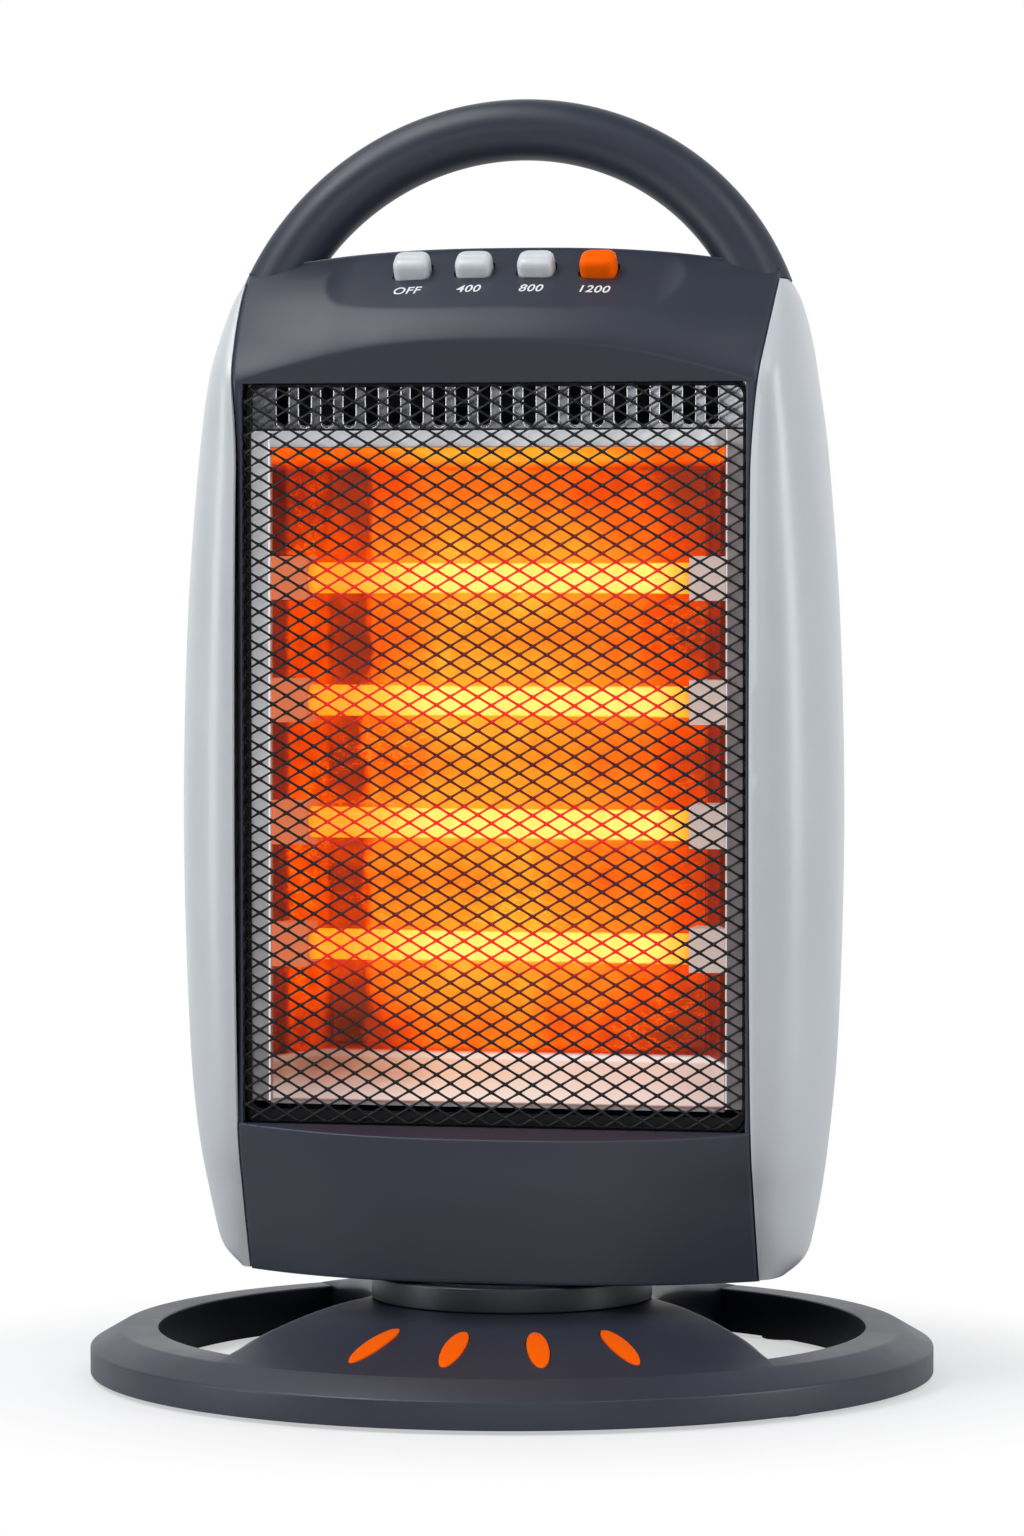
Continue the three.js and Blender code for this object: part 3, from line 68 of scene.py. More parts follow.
HEAD_BOTTOM, WINDOW_LOW, WINDOW_HIGH = 40.3, 99.8, 386.6
WINDOW_HALF, WINDOW_FACE = 99.0, -37.6
BROW, SILL = math.radians(20), math.radians(22)  # slopes above and below the window
RIDGE_SIDE, RIDGE_MIDDLE, RIDGE_Y = 431.0, 440.0, 2.0
CORE_HALF, CORE_FLARE, FLARE_FROM, BULGE = 101.0, 5.0, 350.0, 2.6
CORE_EDGE = 1.2  # rounding where the front meets the side panels
CREASE_Y, CREASE_Z, SLOPE = -35.0, 415.5, math.radians(34.2)
ARCH, ARCH_HALF = 3.5, 76.0
CONTROL_END, CONTROL_DROP = 60.0, 0.022  # where the control surface starts to fall away at its ends
SPLIT_Y, SPLIT_GAP = 3.0, 0.15

# The head's outline. FRONT holds (Z, Y at the sides, Y on the middle), and TOP and BACK hold (Y, Z) at
# the sides and then on the middle
FRONT = [(40.3, -18, -48), (72, -30, -48.6), (104, -39, -47.6), (179.9, -43.5, -51),
         (263, -44, -51.5), (330, -42.5, -50), (365, -40, -48), (388, -37, -46)]
TOP = [(-27, 403, -43.2, 403), (-15, 416.5, -33, 417.5), (-7, 424, -17, 430.5), (2, 431, 2, 440)]
BACK = [(16, 428, 24, 437), (28, 419, 38, 425), (38, 401, 46, 402), (43.5, 360, 50, 360),
        (45, 263, 51, 263), (43, 150, 49, 150), (34, 76, 41, 76), (20, 40.3, 28, 40.3)]
PANEL = [(41, 108), (48, 115.6), (60, 119.3), (92, 124.6), (138, 128.5), (216.4, 130.5),
         (294, 128.7), (357, 124), (388, 119.7), (404, 116.6), (419, 112.3), (427, 108)]  # (Z, half-width)
PANEL_LOW, PANEL_HIGH, PANEL_GAP = 41.0, 427.0, 0.3

AIR_ROWS = {84: 34.5, 96: 36.0, 338: 41.0, 350: 41.0, 362: 41.0, 374: 41.0}  # height: Y of the fin behind it
AIR_X, AIR_LONG, AIR_HIGH, FIN_HALF = 42.0, 68.0, 4.0, 35.5

HANDLE_ARC, HANDLE_BAR, HANDLE_LEAN = 105.6, 12.0, math.radians(12)
HANDLE_Y, HANDLE_Z, HANDLE_SPAN = -0.6, 383.9, 68.0

KEY_PITCH, KEY_UP, KEY_WIDE, KEY_DEEP = 24.6, 27.8, 14.0, 11.0
KEY_LINE = [(-5, 0), (3.2, 0), (4.6, 0.25), (5.4, 0.75), (5.95, 1.5), (6.2, 2.4), (6.1, 4.2)]  # (up, inset)
STEM_BACK = 1.6  # the stems stand over the switch, a little down the slope from the middle of the caps
MARK_UP, MARK_SIZE, MARK_SCALE, MARK_LIFT = 13.6, 5.4, (1.12, 1.28, 1, 1), 0.12

GUARD_Y, GUARD_HALF, GUARD_LOW, GUARD_HIGH = -38.0, 98.4, 100.4, 386.0
MESH_WIDE, MESH_HIGH = 10.83, 6.49  # one diamond of the net
FOLD, CORNER, RETURN = 1.6, 6.0, 6.5  # radius of the folded edge, radius of its corners, depth behind the net
NET_U, NET_V = GUARD_HALF - CORNER, (GUARD_HIGH - GUARD_LOW) / 2 - CORNER
NET_MIDDLE = (GUARD_LOW + GUARD_HIGH) / 2

STRIP_Y, STRIP_HALF, STRIP_LOW, STRIP_HIGH, STRIP_THICK = -29.5, 98.4, 369.2, 392.0, 0.5
SLOT_COUNT, SLOT_PITCH, SLOT_R, SLOT_LOW, SLOT_HIGH = 20, 8.9, 2.4, 372.8, 385.4
LIP_Y, LIP_LOW, LIP_R, LIP_BAR = -30.1, 372.1, 2.6, 0.28

LAMP_TOP, LAMP_PITCH, LAMP_Y, LAMP_R = 311.5, 47.6, -20.0, 6.0

# -------------------- meshes


def spline(points, count):
    """A smooth curve of cubic pieces through points."""
    p = np.asarray(points, float)
    t = np.linspace(0, len(p) - 1, count)
    i = np.minimum(t.astype(int), len(p) - 2)
    w = (t - i)[:, None]
    p0, p1, p2, p3 = p[np.maximum(i - 1, 0)], p[i], p[i + 1], p[np.minimum(i + 2, len(p) - 1)]
    v0, v1 = (p2 - p0) / 2, (p3 - p1) / 2
    return (2 * p1 - 2 * p2 + v0 + v1) * w**3 + (3 * p2 - 3 * p1 - 2 * v0 - v1) * w**2 + v0 * w + p1


def smoothstep(t):
    return t * t * (3 - 2 * t)


def grid(points, wrap_rows=False, wrap_columns=False, keep=None, flip=False):
    """(points, faces) of a grid of points, rows by columns by 3."""
    points = np.asarray(points, float)
    rows, columns = points.shape[:2]
    index = np.arange(rows * columns).reshape(rows, columns)
    if wrap_rows:
        index = np.vstack([index, index[:1]])
    if wrap_columns:
        index = np.hstack([index, index[:, :1]])
    faces = np.stack([index[:-1, :-1], index[:-1, 1:], index[1:, 1:], index[1:, :-1]], -1)
    if keep is not None:
        faces = faces[keep]
    faces = faces.reshape(-1, 4)
    return points.reshape(-1, 3), faces[:, ::-1] if flip else faces


def closed(rings, flip=False):
    """(points, faces) of a stack of rings, with a face over each end."""
    points, faces = grid(rings, wrap_columns=True, flip=flip)
    n = len(rings[0])
    ends = [list(range(n))[::-1], list(range(len(points) - n, len(points)))]
    return points, [*faces, *(end[::-1] if flip else end for end in ends)]


def joined(parts):
    """Several (points, faces) as one."""
    points, faces, start = [], [], 0
    for p, f in parts:
        points.append(p)
        faces += [[int(i) + start for i in face] for face in f]
        start += len(p)
    return np.vstack(points), faces


def lathe(profile, segments):
    """(points, faces) of [radius, height] points turned about Z, facing out where the profile falls."""
    a = np.linspace(0, 2 * math.pi, segments, endpoint=False)
    p = np.asarray(profile, float)
    rows = np.stack([p[:, :1] * np.cos(a), p[:, :1] * np.sin(a), np.repeat(p[:, 1:], segments, 1)], -1)
    return grid(rows, wrap_columns=True, flip=True)


def rounded(profile, radius, steps=4):
    """A 2-D polyline with its inner corners rounded."""
    p = [np.asarray(q, float) for q in profile]
    out = [p[0]]
    for i in range(1, len(p) - 1):
        a, b = p[i - 1] - p[i], p[i + 1] - p[i]
        la, lb = np.linalg.norm(a), np.linalg.norm(b)
        r = min(radius, la / 2, lb / 2)
        start, end = p[i] + a / la * r, p[i] + b / lb * r
        for k in range(steps + 1):
            t = k / steps
            out.append((1 - t) ** 2 * start + 2 * t * (1 - t) * p[i] + t * t * end)
    return np.array(out + [p[-1]])


def rounded_rectangle(width, height, radius, steps=6):
    points = []
    for k, (sx, sy) in enumerate([(1, 1), (-1, 1), (-1, -1), (1, -1)]):
        for j in range(steps + 1):
            a = math.pi / 2 * (k + j / steps)
            points.append((sx * (width / 2 - radius) + radius * math.cos(a),
                           sy * (height / 2 - radius) + radius * math.sin(a)))
    return points


def tube_along(path, radius, sides, flat=(0, 0, 1), ends=True):
    """(points, faces) of a round bar along a path that keeps square to flat."""
    path = np.asarray(path, float)
    ahead = np.gradient(path, axis=0)
    ahead /= np.linalg.norm(ahead, axis=1)[:, None]
    side = np.cross(ahead, flat)
    side /= np.linalg.norm(side, axis=1)[:, None]
    up = np.cross(side, ahead)
    a = np.linspace(0, 2 * math.pi, sides, endpoint=False)[None, :, None]
    rings = path[:, None] + radius * (side[:, None] * np.cos(a) + up[:, None] * np.sin(a))
    return closed(rings, flip=True) if ends else grid(rings, wrap_columns=True, flip=True)


def prism(outline, depth, place):
    """A closed prism: an outline from 0 to depth along Z, put in place by a function."""
    points, faces = closed([[(x, y, z) for x, y in outline] for z in (0, depth)])
    return place(points), faces


def new_object(name, shape):
    """A linked mesh object made of (points, faces) in millimetres."""
    points, faces = shape
    mesh = bpy.data.meshes.new(name)
    mesh.from_pydata([tuple(p) for p in np.asarray(points) * MM], [], [list(map(int, f)) for f in faces])
    obj = bpy.data.objects.new(name, mesh)
    bpy.context.collection.objects.link(obj)
    return obj


def add(name, shape, body, paint, nodes=(), smooth=35):
    """A mesh piece riding on a body; smooth is the angle up to which it shades smoothly."""
    obj = new_object(name, shape)
    obj.data.materials.append(paint)
    if smooth:
        obj.data.shade_smooth()
        obj.data.set_sharp_from_angle(angle=math.radians(smooth))
    if body != "base":
        obj.matrix_world = HEAD_PLACE
    bpy.context.view_layer.update()
    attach(obj, body)
    if nodes:
        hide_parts(*nodes)
    return obj


def made_mesh(obj):
    """The mesh that an object's curve or modifiers make."""
    bpy.context.view_layer.update()
    return bpy.data.meshes.new_from_object(obj.evaluated_get(bpy.context.evaluated_depsgraph_get()))


def settle(obj):
    """Replaces the piece's mesh by what its modifiers make of it."""
    made = made_mesh(obj)
    obj.modifiers.clear()
    obj.data = made


def thicken(obj):
    m = obj.modifiers.new("wall", "SOLIDIFY")
    m.thickness, m.offset = WALL * MM, -1


def soften(obj, width, angle=40):
    m = obj.modifiers.new("edges", "BEVEL")
    m.width, m.segments, m.limit_method, m.angle_limit = width * MM, 3, "ANGLE", math.radians(angle)
    m.harden_normals = True


def cut(obj, shape):
    """Takes a closed shape, in the piece's own frame, out of a piece."""
    cutter = new_object("cutter", shape)
    cutter.matrix_world = obj.matrix_world
    m = obj.modifiers.new("cut", "BOOLEAN")
    m.object, m.operation, m.solver = cutter, "DIFFERENCE", "MANIFOLD"
    settle(obj)
    bpy.data.objects.remove(cutter)


# -------------------- materials


class Graph:
    """A material's or a world's nodes; add() takes sockets or values for inputs, by name or as i0, i1."""

    def __init__(self, owner):
        owner.use_nodes = True
        self.owner, self.tree = owner, owner.node_tree
        self.tree.nodes.clear()

    def add(self, kind, **values):
        node = self.tree.nodes.new("ShaderNode" + kind)
        for key, value in values.items():
            if key[0] == "i" and key[1:].isdigit():
                socket = node.inputs[int(key[1:])]
            else:
                socket = node.inputs.get(key.replace("_", " "))
            if socket is None:
                setattr(node, key, value)
            elif isinstance(value, bpy.types.NodeSocket):
                self.tree.links.new(value, socket)
            else:
                socket.default_value = value
        return node

    def math(self, operation, a, b=0.0):
        return self.add("Math", operation=operation, i0=a, i1=b).outputs[0]

    def times(self, a, b):
        return self.math("MULTIPLY", a, b)

    def plus(self, a, b):
        return self.math("ADD", a, b)

    def minus(self, a, b):
        return self.math("SUBTRACT", a, b)

    def larger(self, a, b):
        return self.math("MAXIMUM", a, b)

    def size(self, a):
        return self.math("ABSOLUTE", a)

    def band(self, value, low, high, out_low=0.0, out_high=1.0, smooth=False):
        kind = "SMOOTHSTEP" if smooth else "LINEAR"
        return self.add("MapRange", interpolation_type=kind, Value=value, From_Min=low, From_Max=high,
                        To_Min=out_low, To_Max=out_high).outputs[0]

    def noise(self, at, scale, detail=2.0, roughness=0.5):
        return self.add("TexNoise", Vector=at, Scale=scale, Detail=detail, Roughness=roughness).outputs["Fac"]

    def mix(self, factor, a, b):
        return self.add("MixRGB", Fac=factor, Color1=a, Color2=b).outputs["Color"]

    def blend(self, factor, a, b):
        return self.add("Mix", i0=factor, i2=a, i3=b).outputs[0]

    def ramp(self, value, stops):
        """A colour ramp; each stop is (position, red, green, blue)."""
        node = self.add("ValToRGB", Fac=value)
        ends = node.color_ramp.elements
        while len(ends) < len(stops):
            ends.new(0.5)
        for element, (position, *color) in zip(ends, stops):
            element.position = position
            element.color = (*color, 1)
        return node.outputs["Color"]

    def mapped(self, at, scale=(1, 1, 1), turn=(0, 0, 0)):
        return self.add("Mapping", Vector=at, Scale=scale, Rotation=turn).outputs[0]

    def where(self, turn=0.0):
        at = self.add("TexCoord").outputs["Object"]
        return self.mapped(at, turn=(0, 0, turn)) if turn else at

    def split(self, vector):
        return self.add("SeparateXYZ", Vector=vector).outputs

    def geometry(self, output):
        return self.add("NewGeometry").outputs[output]

    def ray(self, kind):
        return self.add("LightPath").outputs[f"Is {kind} Ray"]

    def mirrored(self):
        """1 for the rays that metal and glass send on."""
        return self.larger(self.ray("Glossy"), self.ray("Transmission"))

    def spill(self):
        """Keeps the glow from flooding what stands around: it is weaker to other rays."""
        return self.band(self.ray("Camera"), 0, 1, 0.35, 1.0)

    def bump(self, strength, distance, height, **normal):
        return self.add("Bump", Strength=strength, Distance=distance, Height=height, **normal).outputs[0]

    def output(self, shader, kind="OutputMaterial"):
        self.tree.links.new(shader.outputs[0], self.add(kind).inputs[0])
        return self.owner

    def finish(self, **sockets):
        return self.output(self.add("BsdfPrincipled", **sockets))


def material(name):
    return Graph(bpy.data.materials.new(name))


def shade(color, factor):
    return tuple(c * factor for c in color[:3]) + (1,)


def plastic(name, color, roughness, grain=0.25, wear=1.5, specular=0.5, coat=0.0, shade_radius=0.0):
    """A moulding with a fine grain, uneven gloss and slightly polished edges.

    With a shade radius given, upright walls inside it get painted shade, dark and with little gloss, and the
    dome round the collar gets a painted shadow.
    """
    g = material(name)
    at = g.where()
    fine, broad = g.noise(at, 1500, 3, 0.65), g.noise(at, 24, 4, 0.6)
    tone = g.mix(broad, shade(color, 0.94), shade(color, 1.06))
    tone = g.mix(g.band(g.geometry("Pointiness"), 0.51, 0.58), tone, shade(color, wear))
    if shade_radius:
        # painted shade on the walls inside the ring and painted shadow on the dome round the collar
        x, y, _ = g.split(at)
        radius = g.math("SQRT", g.plus(g.times(x, x), g.times(y, y)))
        upright = g.band(g.split(g.geometry("Normal"))[2], 0.1, 0.5, 1, 0)
        painted_shade = g.times(upright, g.band(radius, shade_radius, shade_radius + 0.0006, 1, 0))
        painted_shade = g.larger(painted_shade, g.band(radius, 0.060, 0.092, 0.75, 0.0, smooth=True))
        tone = g.mix(painted_shade, tone, shade(color, 0.2))
        specular = g.band(painted_shade, 0, 1, specular, 0.1)
    bump = g.bump(grain, 0.00006, fine)
    return g.finish(Base_Color=tone, Roughness=g.band(broad, 0.3, 0.7, roughness - 0.05, roughness + 0.05),
                    Normal=g.bump(0.05, 0.0006, g.noise(at, 30), Normal=bump),
                    Specular_IOR_Level=specular, Coat_Weight=coat, Coat_Roughness=0.2)


def metal(name, color, roughness, streak=(1, 1, 1), grain=0.15, dents=0.2):
    """Sheet metal with rolling marks, stained patches and shallow dents."""
    g = material(name)
    at = g.where()
    fine = g.noise(g.mapped(at, streak), 600, 4, 0.7)
    tone = g.mix(g.noise(at, 40, 4, 0.6), shade(color, 0.85), shade(color, 1.0))
    dent = g.bump(dents, 0.002, g.noise(at, 26), Normal=g.bump(grain, 0.00005, fine))
    return g.finish(Base_Color=tone, Metallic=1.0, Normal=dent,
                    Roughness=g.band(fine, 0.3, 0.7, roughness - 0.06, roughness + 0.08))


def beside_lamps(g, at):
    """x, y and z, and the distance up or down to the nearest lamp."""
    x, y, z = g.split(at)
    phase = g.math("DIVIDE", g.minus(LAMP_TOP * MM, z), LAMP_PITCH * MM)
    index = g.math("MINIMUM", g.larger(g.math("ROUND", phase), 0.0), 3.0)
    return x, y, z, g.times(g.size(g.minus(phase, index)), LAMP_PITCH * MM)


# The painted reflection's colour from the darkest fold to the brightest spot, and its strength from left to
# right
GLOW_REFLECTION = [(0.0, 0.04, 0.006, 0.004), (0.2, 0.20, 0.020, 0.012), (0.35, 0.38, 0.026, 0.006),
        (0.5, 0.88, 0.065, 0.002), (0.65, 0.95, 0.17, 0.008), (0.8, 0.97, 0.32, 0.018),
        (1.0, 1.0, 0.58, 0.045)]
GLOW_REFLECTION_ACROSS = [(0.0, 0.30), (0.09, 0.22), (0.115, 0.50), (0.30, 0.70), (0.50, 0.72), (0.65, 0.62),
               (0.80, 0.54), (0.92, 0.34), (1.0, 0.26)]
FLOOR_PALE = [(0.0, 0.96, 0.78, 0.66), (0.45, 0.93, 0.62, 0.44), (0.8, 0.70, 0.34, 0.22),
              (1.0, 0.48, 0.22, 0.15)]


def painted_glow_reflection(g, at, x, y, z, away, stain_and_glow_noise):
    """The lamps' glow painted as a reflection on the back, sides and roof of the reflector."""
    on_back = g.band(y, 0.006, 0.0115, smooth=True)
    ripple = g.band(g.noise(g.mapped(at, (1, 1, 0.5)), 70, 4, 0.6), 0.3, 0.7, -0.004, 0.004)
    across = g.ramp(g.band(g.plus(x, ripple), -0.0765, 0.0765), [(p, v, v, v) for p, v in GLOW_REFLECTION_ACROSS])
    near = g.band(away, 0.008, 0.036, 0.16, -0.06)
    beside = g.band(y, -0.021, -0.016, 0.17, 0.49, smooth=True)
    beside = g.minus(beside, g.band(x, 0.0, 0.07, 0.0, 0.30))
    roof = g.band(g.size(x), 0.02, 0.08, 0.84, 0.55, smooth=True)
    s = g.blend(on_back, beside, g.plus(across, near))
    # Darker between the lamps at the left, most of all above the first
    folds = g.times(g.band(away, 0.020, 0.034), g.band(x, -0.03, -0.07))
    s = g.minus(s, g.times(g.band(z, 0.325, 0.345, 0.14, 0.05), folds))
    corner = g.times(g.band(z, 0.316, 0.326), g.band(x, -0.050, -0.066))
    s = g.plus(s, g.times(corner, g.band(on_back, 0, 1, -0.10, 0.11)))
    s = g.blend(g.band(z, 0.353, 0.357), s, roof)
    s = g.plus(s, g.band(stain_and_glow_noise, 0.3, 0.7, -0.085, 0.085))
    # painted glints: thin brighter lines in patches, as on a crumpled sheet
    painted_glints = g.noise(g.mapped(at, (1, 1, 2.2), (0.3, 0.5, 0.4)), 30, 6, 0.75)
    patch = g.band(g.noise(at, 19), 0.50, 0.62, 0.03, 0.22)
    s = g.plus(s, g.times(g.band(g.size(g.minus(painted_glints, 0.5)), 0.0, 0.016, 1, 0), patch))
    return g.ramp(s, GLOW_REFLECTION)


def painted_floor_glow(g, x, z, middle, stain_and_glow_noise):
    """The pale glow painted on the reflector's floor, with a painted highlight line along its fold."""
    pale = g.ramp(g.plus(g.band(middle, 0.0, 0.095), g.band(stain_and_glow_noise, 0.3, 0.7, -0.12, 0.12)), FLOOR_PALE)
    pale = g.mix(g.band(z, 0.1085, 0.1190, 0.8, 0.0, smooth=True), pale, (0.96, 0.91, 0.88, 1))
    line = g.times(g.band(z, 0.1223, 0.1231), g.band(x, -0.06, 0.02, 0.15, 0.95))
    pale = g.mix(g.band(x, -0.01, 0.090, 0.0, 0.75), pale, (0.80, 0.70, 0.68, 1))
    return g.mix(line, pale, (1.0, 0.96, 0.93, 1))


def reflector_metal(name):
    """Bright aluminium sheet: inside the mouth it carries the lamps' glow as a painted reflection, and it is
    plain outside it, with painted shade and highlights on the flanges.
    """
    g = material(name)
    at = g.where(-TURN)
    x, y, z, away = beside_lamps(g, at)
    # a noise for the plain sheet's stained patches that also blotches the painted glow inside
    stain_and_glow_noise = g.noise(at, 46, 4, 0.6)
    # Inside is what lies behind the flanges and faces the middle of the mouth
    normal = g.mapped(g.geometry("Normal"), turn=(0, 0, -TURN))
    inward = g.add("VectorMath", operation="SUBTRACT", i0=(0, -0.05, 0.24), i1=at).outputs[0]
    inward = g.add("VectorMath", operation="DOT_PRODUCT", i0=inward, i1=normal).outputs["Value"]
    inside = g.times(g.band(y, -0.0289, -0.0275), g.band(inward, 0.0, 0.001))

    bottom = g.band(z, 0.1243, 0.1255, 1.0, 0.0)
    middle = g.size(g.minus(x, 0.018))
    painted_glow = painted_glow_reflection(g, at, x, y, z, away, stain_and_glow_noise)
    painted_glow = g.mix(bottom, painted_glow, painted_floor_glow(g, x, z, middle, stain_and_glow_noise))
    # painted highlight: a pale line along both side edges of the mouth
    rim = g.band(g.size(g.minus(g.size(x), 0.0902)), 0.0002, 0.0005, 1.0, 0.0)
    rim = g.times(rim, g.band(y, -0.0280, -0.0290))
    painted_glow = g.mix(rim, painted_glow, (0.95, 0.90, 0.90, 1))
    # painted light: a pale glow on the left-hand and top flanges, stronger towards the top
    flange = g.larger(g.band(x, -0.0905, -0.0895, 1.0, 0.0), g.band(z, 0.362, 0.364))
    flange = g.times(flange, g.times(g.band(y, -0.0289, -0.0275, 0.16, 0.0), g.band(z, 0.12, 0.23)))
    painted_glow = g.mix(g.math("GREATER_THAN", flange, 0.01), painted_glow, (0.9, 0.9, 0.92, 1))

    plain = g.mix(stain_and_glow_noise, (0.78, 0.78, 0.80, 1), (0.92, 0.92, 0.94, 1))
    # painted shade: darker past the right-hand edge and towards the bottom
    plain = g.mix(g.band(x, 0.085, 0.087), plain, (0.36, 0.29, 0.29, 1))
    plain = g.mix(g.band(z, 0.100, 0.250, 0.75, 0.0), plain, (0.30, 0.28, 0.29, 1))
    # painted light: inside the mouth the sheet is tinted red, standing in for the lamps' light
    tone = g.mix(inside, plain, g.mix(bottom, (0.20, 0.035, 0.006, 1), (0.35, 0.30, 0.28, 1)))
    power = g.times(inside, g.blend(bottom, 1.0, g.band(middle, 0.045, 0.095, 0.80, 0.50)))
    power = g.larger(power, g.larger(g.times(rim, 0.6), flange))
    rolled = g.bump(0.12, 0.00005, g.noise(g.mapped(at, (0.1, 1, 1)), 900, 3, 0.7))
    return g.finish(Base_Color=tone, Metallic=g.band(inside, 0, 1, 0.3, 1.0),
                    Roughness=g.band(inside, 0, 1, 0.28, 0.40),
                    Normal=g.bump(0.35, 0.003, g.noise(at, 30), Normal=rolled),
                    Emission_Color=painted_glow, Emission_Strength=g.times(power, g.spill()))


def net_paint(name):
    """Black enamel on the net, with painted light: it glows a deep red where it crosses the lamps, standing
    in for their light on the strands.
    """
    g = material(name)
    at = g.where()
    side, _, _, away = beside_lamps(g, at)
    x = g.size(side)
    # painted light: red emission on the strands in front of the lamps and a fainter spill around them
    lamp_light_on_net = g.times(g.band(away, 0.0045, 0.0115, 0.72, 0, smooth=True), g.band(x, 0.066, 0.074, 1, 0))
    lamp_spill_on_net = g.times(g.band(x, 0.030, 0.080, 1, 0, smooth=True), g.band(away, 0.012, 0.040, 0.13, 0.0))
    fine = g.noise(at, 1800, 3)
    return g.finish(Base_Color=(0.006, 0.006, 0.008, 1), Roughness=g.band(fine, 0.3, 0.7, 0.36, 0.55),
                    Normal=g.bump(0.3, 0.00005, fine), Specular_IOR_Level=0.25,
                    Emission_Color=(1.0, 0.018, 0.0, 1), Emission_Strength=g.plus(lamp_light_on_net, lamp_spill_on_net))


def lamp_glow(name):
    """A lit quartz tube: bright yellow along the middle, orange at its rim and ends."""
    g = material(name)
    at = g.where()
    side = g.split(at)[0]
    facing = g.add("LayerWeight", Blend=0.5).outputs["Facing"]
    ends = g.larger(g.band(side, 0.058, 0.080, smooth=True), g.band(side, -0.022, -0.066, smooth=True))
    coil = g.noise(g.mapped(at, (1, 0.2, 0.2)), 260)
    rim = g.larger(g.band(facing, 0.45, 0.95, smooth=True), ends)
    tone = g.ramp(rim, [(0.0, 1.0, 0.60, 0.115), (0.45, 1.0, 0.48, 0.05), (1.0, 1.0, 0.33, 0.010)])
    power = g.times(g.band(rim, 0, 1, 1.5, 1.15), g.band(coil, 0.3, 0.7, 0.9, 1.06))
    power = g.times(power, g.band(g.size(side), 0.072, 0.079, 1.0, 0.4, smooth=True))
    return g.finish(Base_Color=(0.3, 0.1, 0.02, 1), Roughness=0.12, Emission_Color=tone,
                    Emission_Strength=g.times(power, g.spill()))


def ceramic(name, lit):
    """Steatite beside the lamps, with painted light: it glows by emission as if lit by the lamps, and the
    left-hand ends are painted redder, catching more of the glow.
    """
    g = material(name)
    at = g.where(-TURN)
    left = g.band(g.split(at)[0], -0.02, 0.02, 1.0, 0.0)
    pale = g.mix(g.noise(at, 90, 3), (0.66, 0.60, 0.55, 1), (0.82, 0.76, 0.70, 1))
    return g.finish(Base_Color=g.mix(left, pale, (0.42, 0.16, 0.08, 1)), Roughness=0.7,
                    Normal=g.bump(0.4, 0.0001, g.noise(at, 700, 4, 0.7)), Emission_Strength=lit,
                    Emission_Color=g.mix(left, (0.24, 0.15, 0.12, 1), (0.52, 0.11, 0.04, 1)))


DARK_COLOR = (0.0235, 0.0275, 0.045, 1)
DARK = plastic("dark plastic", DARK_COLOR, 0.42)
# The base's plastic, with painted shade on the walls inside the ring and painted shadow on the dome round the
# collar
BASE = plastic("base plastic", DARK_COLOR, 0.42, shade_radius=0.1388)
SILVER = plastic("silver plastic", (0.57, 0.59, 0.61, 1), 0.36, grain=0.1, wear=1.15, coat=0.25)
COLLAR = plastic("collar plastic", (0.011, 0.013, 0.018, 1), 0.34, grain=0.1)
ORANGE = plastic("orange plastic", (1.0, 0.125, 0.0, 1), 0.36, grain=0.1, wear=1.0, specular=0.05)
GREY = plastic("grey plastic", (0.66, 0.68, 0.70, 1), 0.34, grain=0.1, wear=1.1)
BLACK = plastic("black plastic", (0.010, 0.010, 0.012, 1), 0.5)
RUBBER = plastic("rubber", (0.012, 0.012, 0.013, 1), 0.75, grain=0.5)
WHITE_INK = plastic("white ink", (0.8, 0.81, 0.83, 1), 0.5, grain=0.1, wear=1.0)
STEEL = metal("zinc steel", (0.55, 0.56, 0.58, 1), 0.36, streak=(0.1, 1, 1))
HOT_STEEL = metal("blued steel", (0.42, 0.10, 0.03, 1), 0.40, streak=(1, 1, 0.1))
POLISHED = metal("polished aluminium", (0.90, 0.90, 0.92, 1), 0.12, grain=0.05, dents=0.25)
STRIP = metal("strip aluminium", (0.40, 0.40, 0.43, 1), 0.20, grain=0.05, dents=0.25)
REFLECTOR = reflector_metal("reflector sheet")
NET = net_paint("net enamel")
GLOW = lamp_glow("lit quartz")
CERAMIC = ceramic("steatite", 1.0)
COLD_CERAMIC = ceramic("cold steatite", 0.0)

# -------------------- base


def dome_height(r):
    t = np.clip((r - DOME_FLAT) / (RING_BEVEL - DOME_FLAT), 0, 1)
    return DOME_TOP - (DOME_TOP - RING_BEVEL_TOP) * t**DOME_CURVE


def ring_shape():
    profile = [(RING_INNER, RING_BOTTOM), (RING_INNER, RING_TOP), (RING_BEVEL, RING_BEVEL_TOP),
               (RING_OUTER, RING_SIDE_TOP), (RING_OUTER, RING_BOTTOM), (RING_OUTER - WALL, RING_BOTTOM),
               (RING_OUTER - WALL, RING_SIDE_TOP - 1.5), (RING_BEVEL, RING_BEVEL_TOP - WALL),
               (RING_INNER + WALL, RING_TOP - WALL), (RING_INNER + WALL, RING_BOTTOM),
               (RING_INNER, RING_BOTTOM)]
    return lathe(rounded(profile, RING_ROUND), 256)


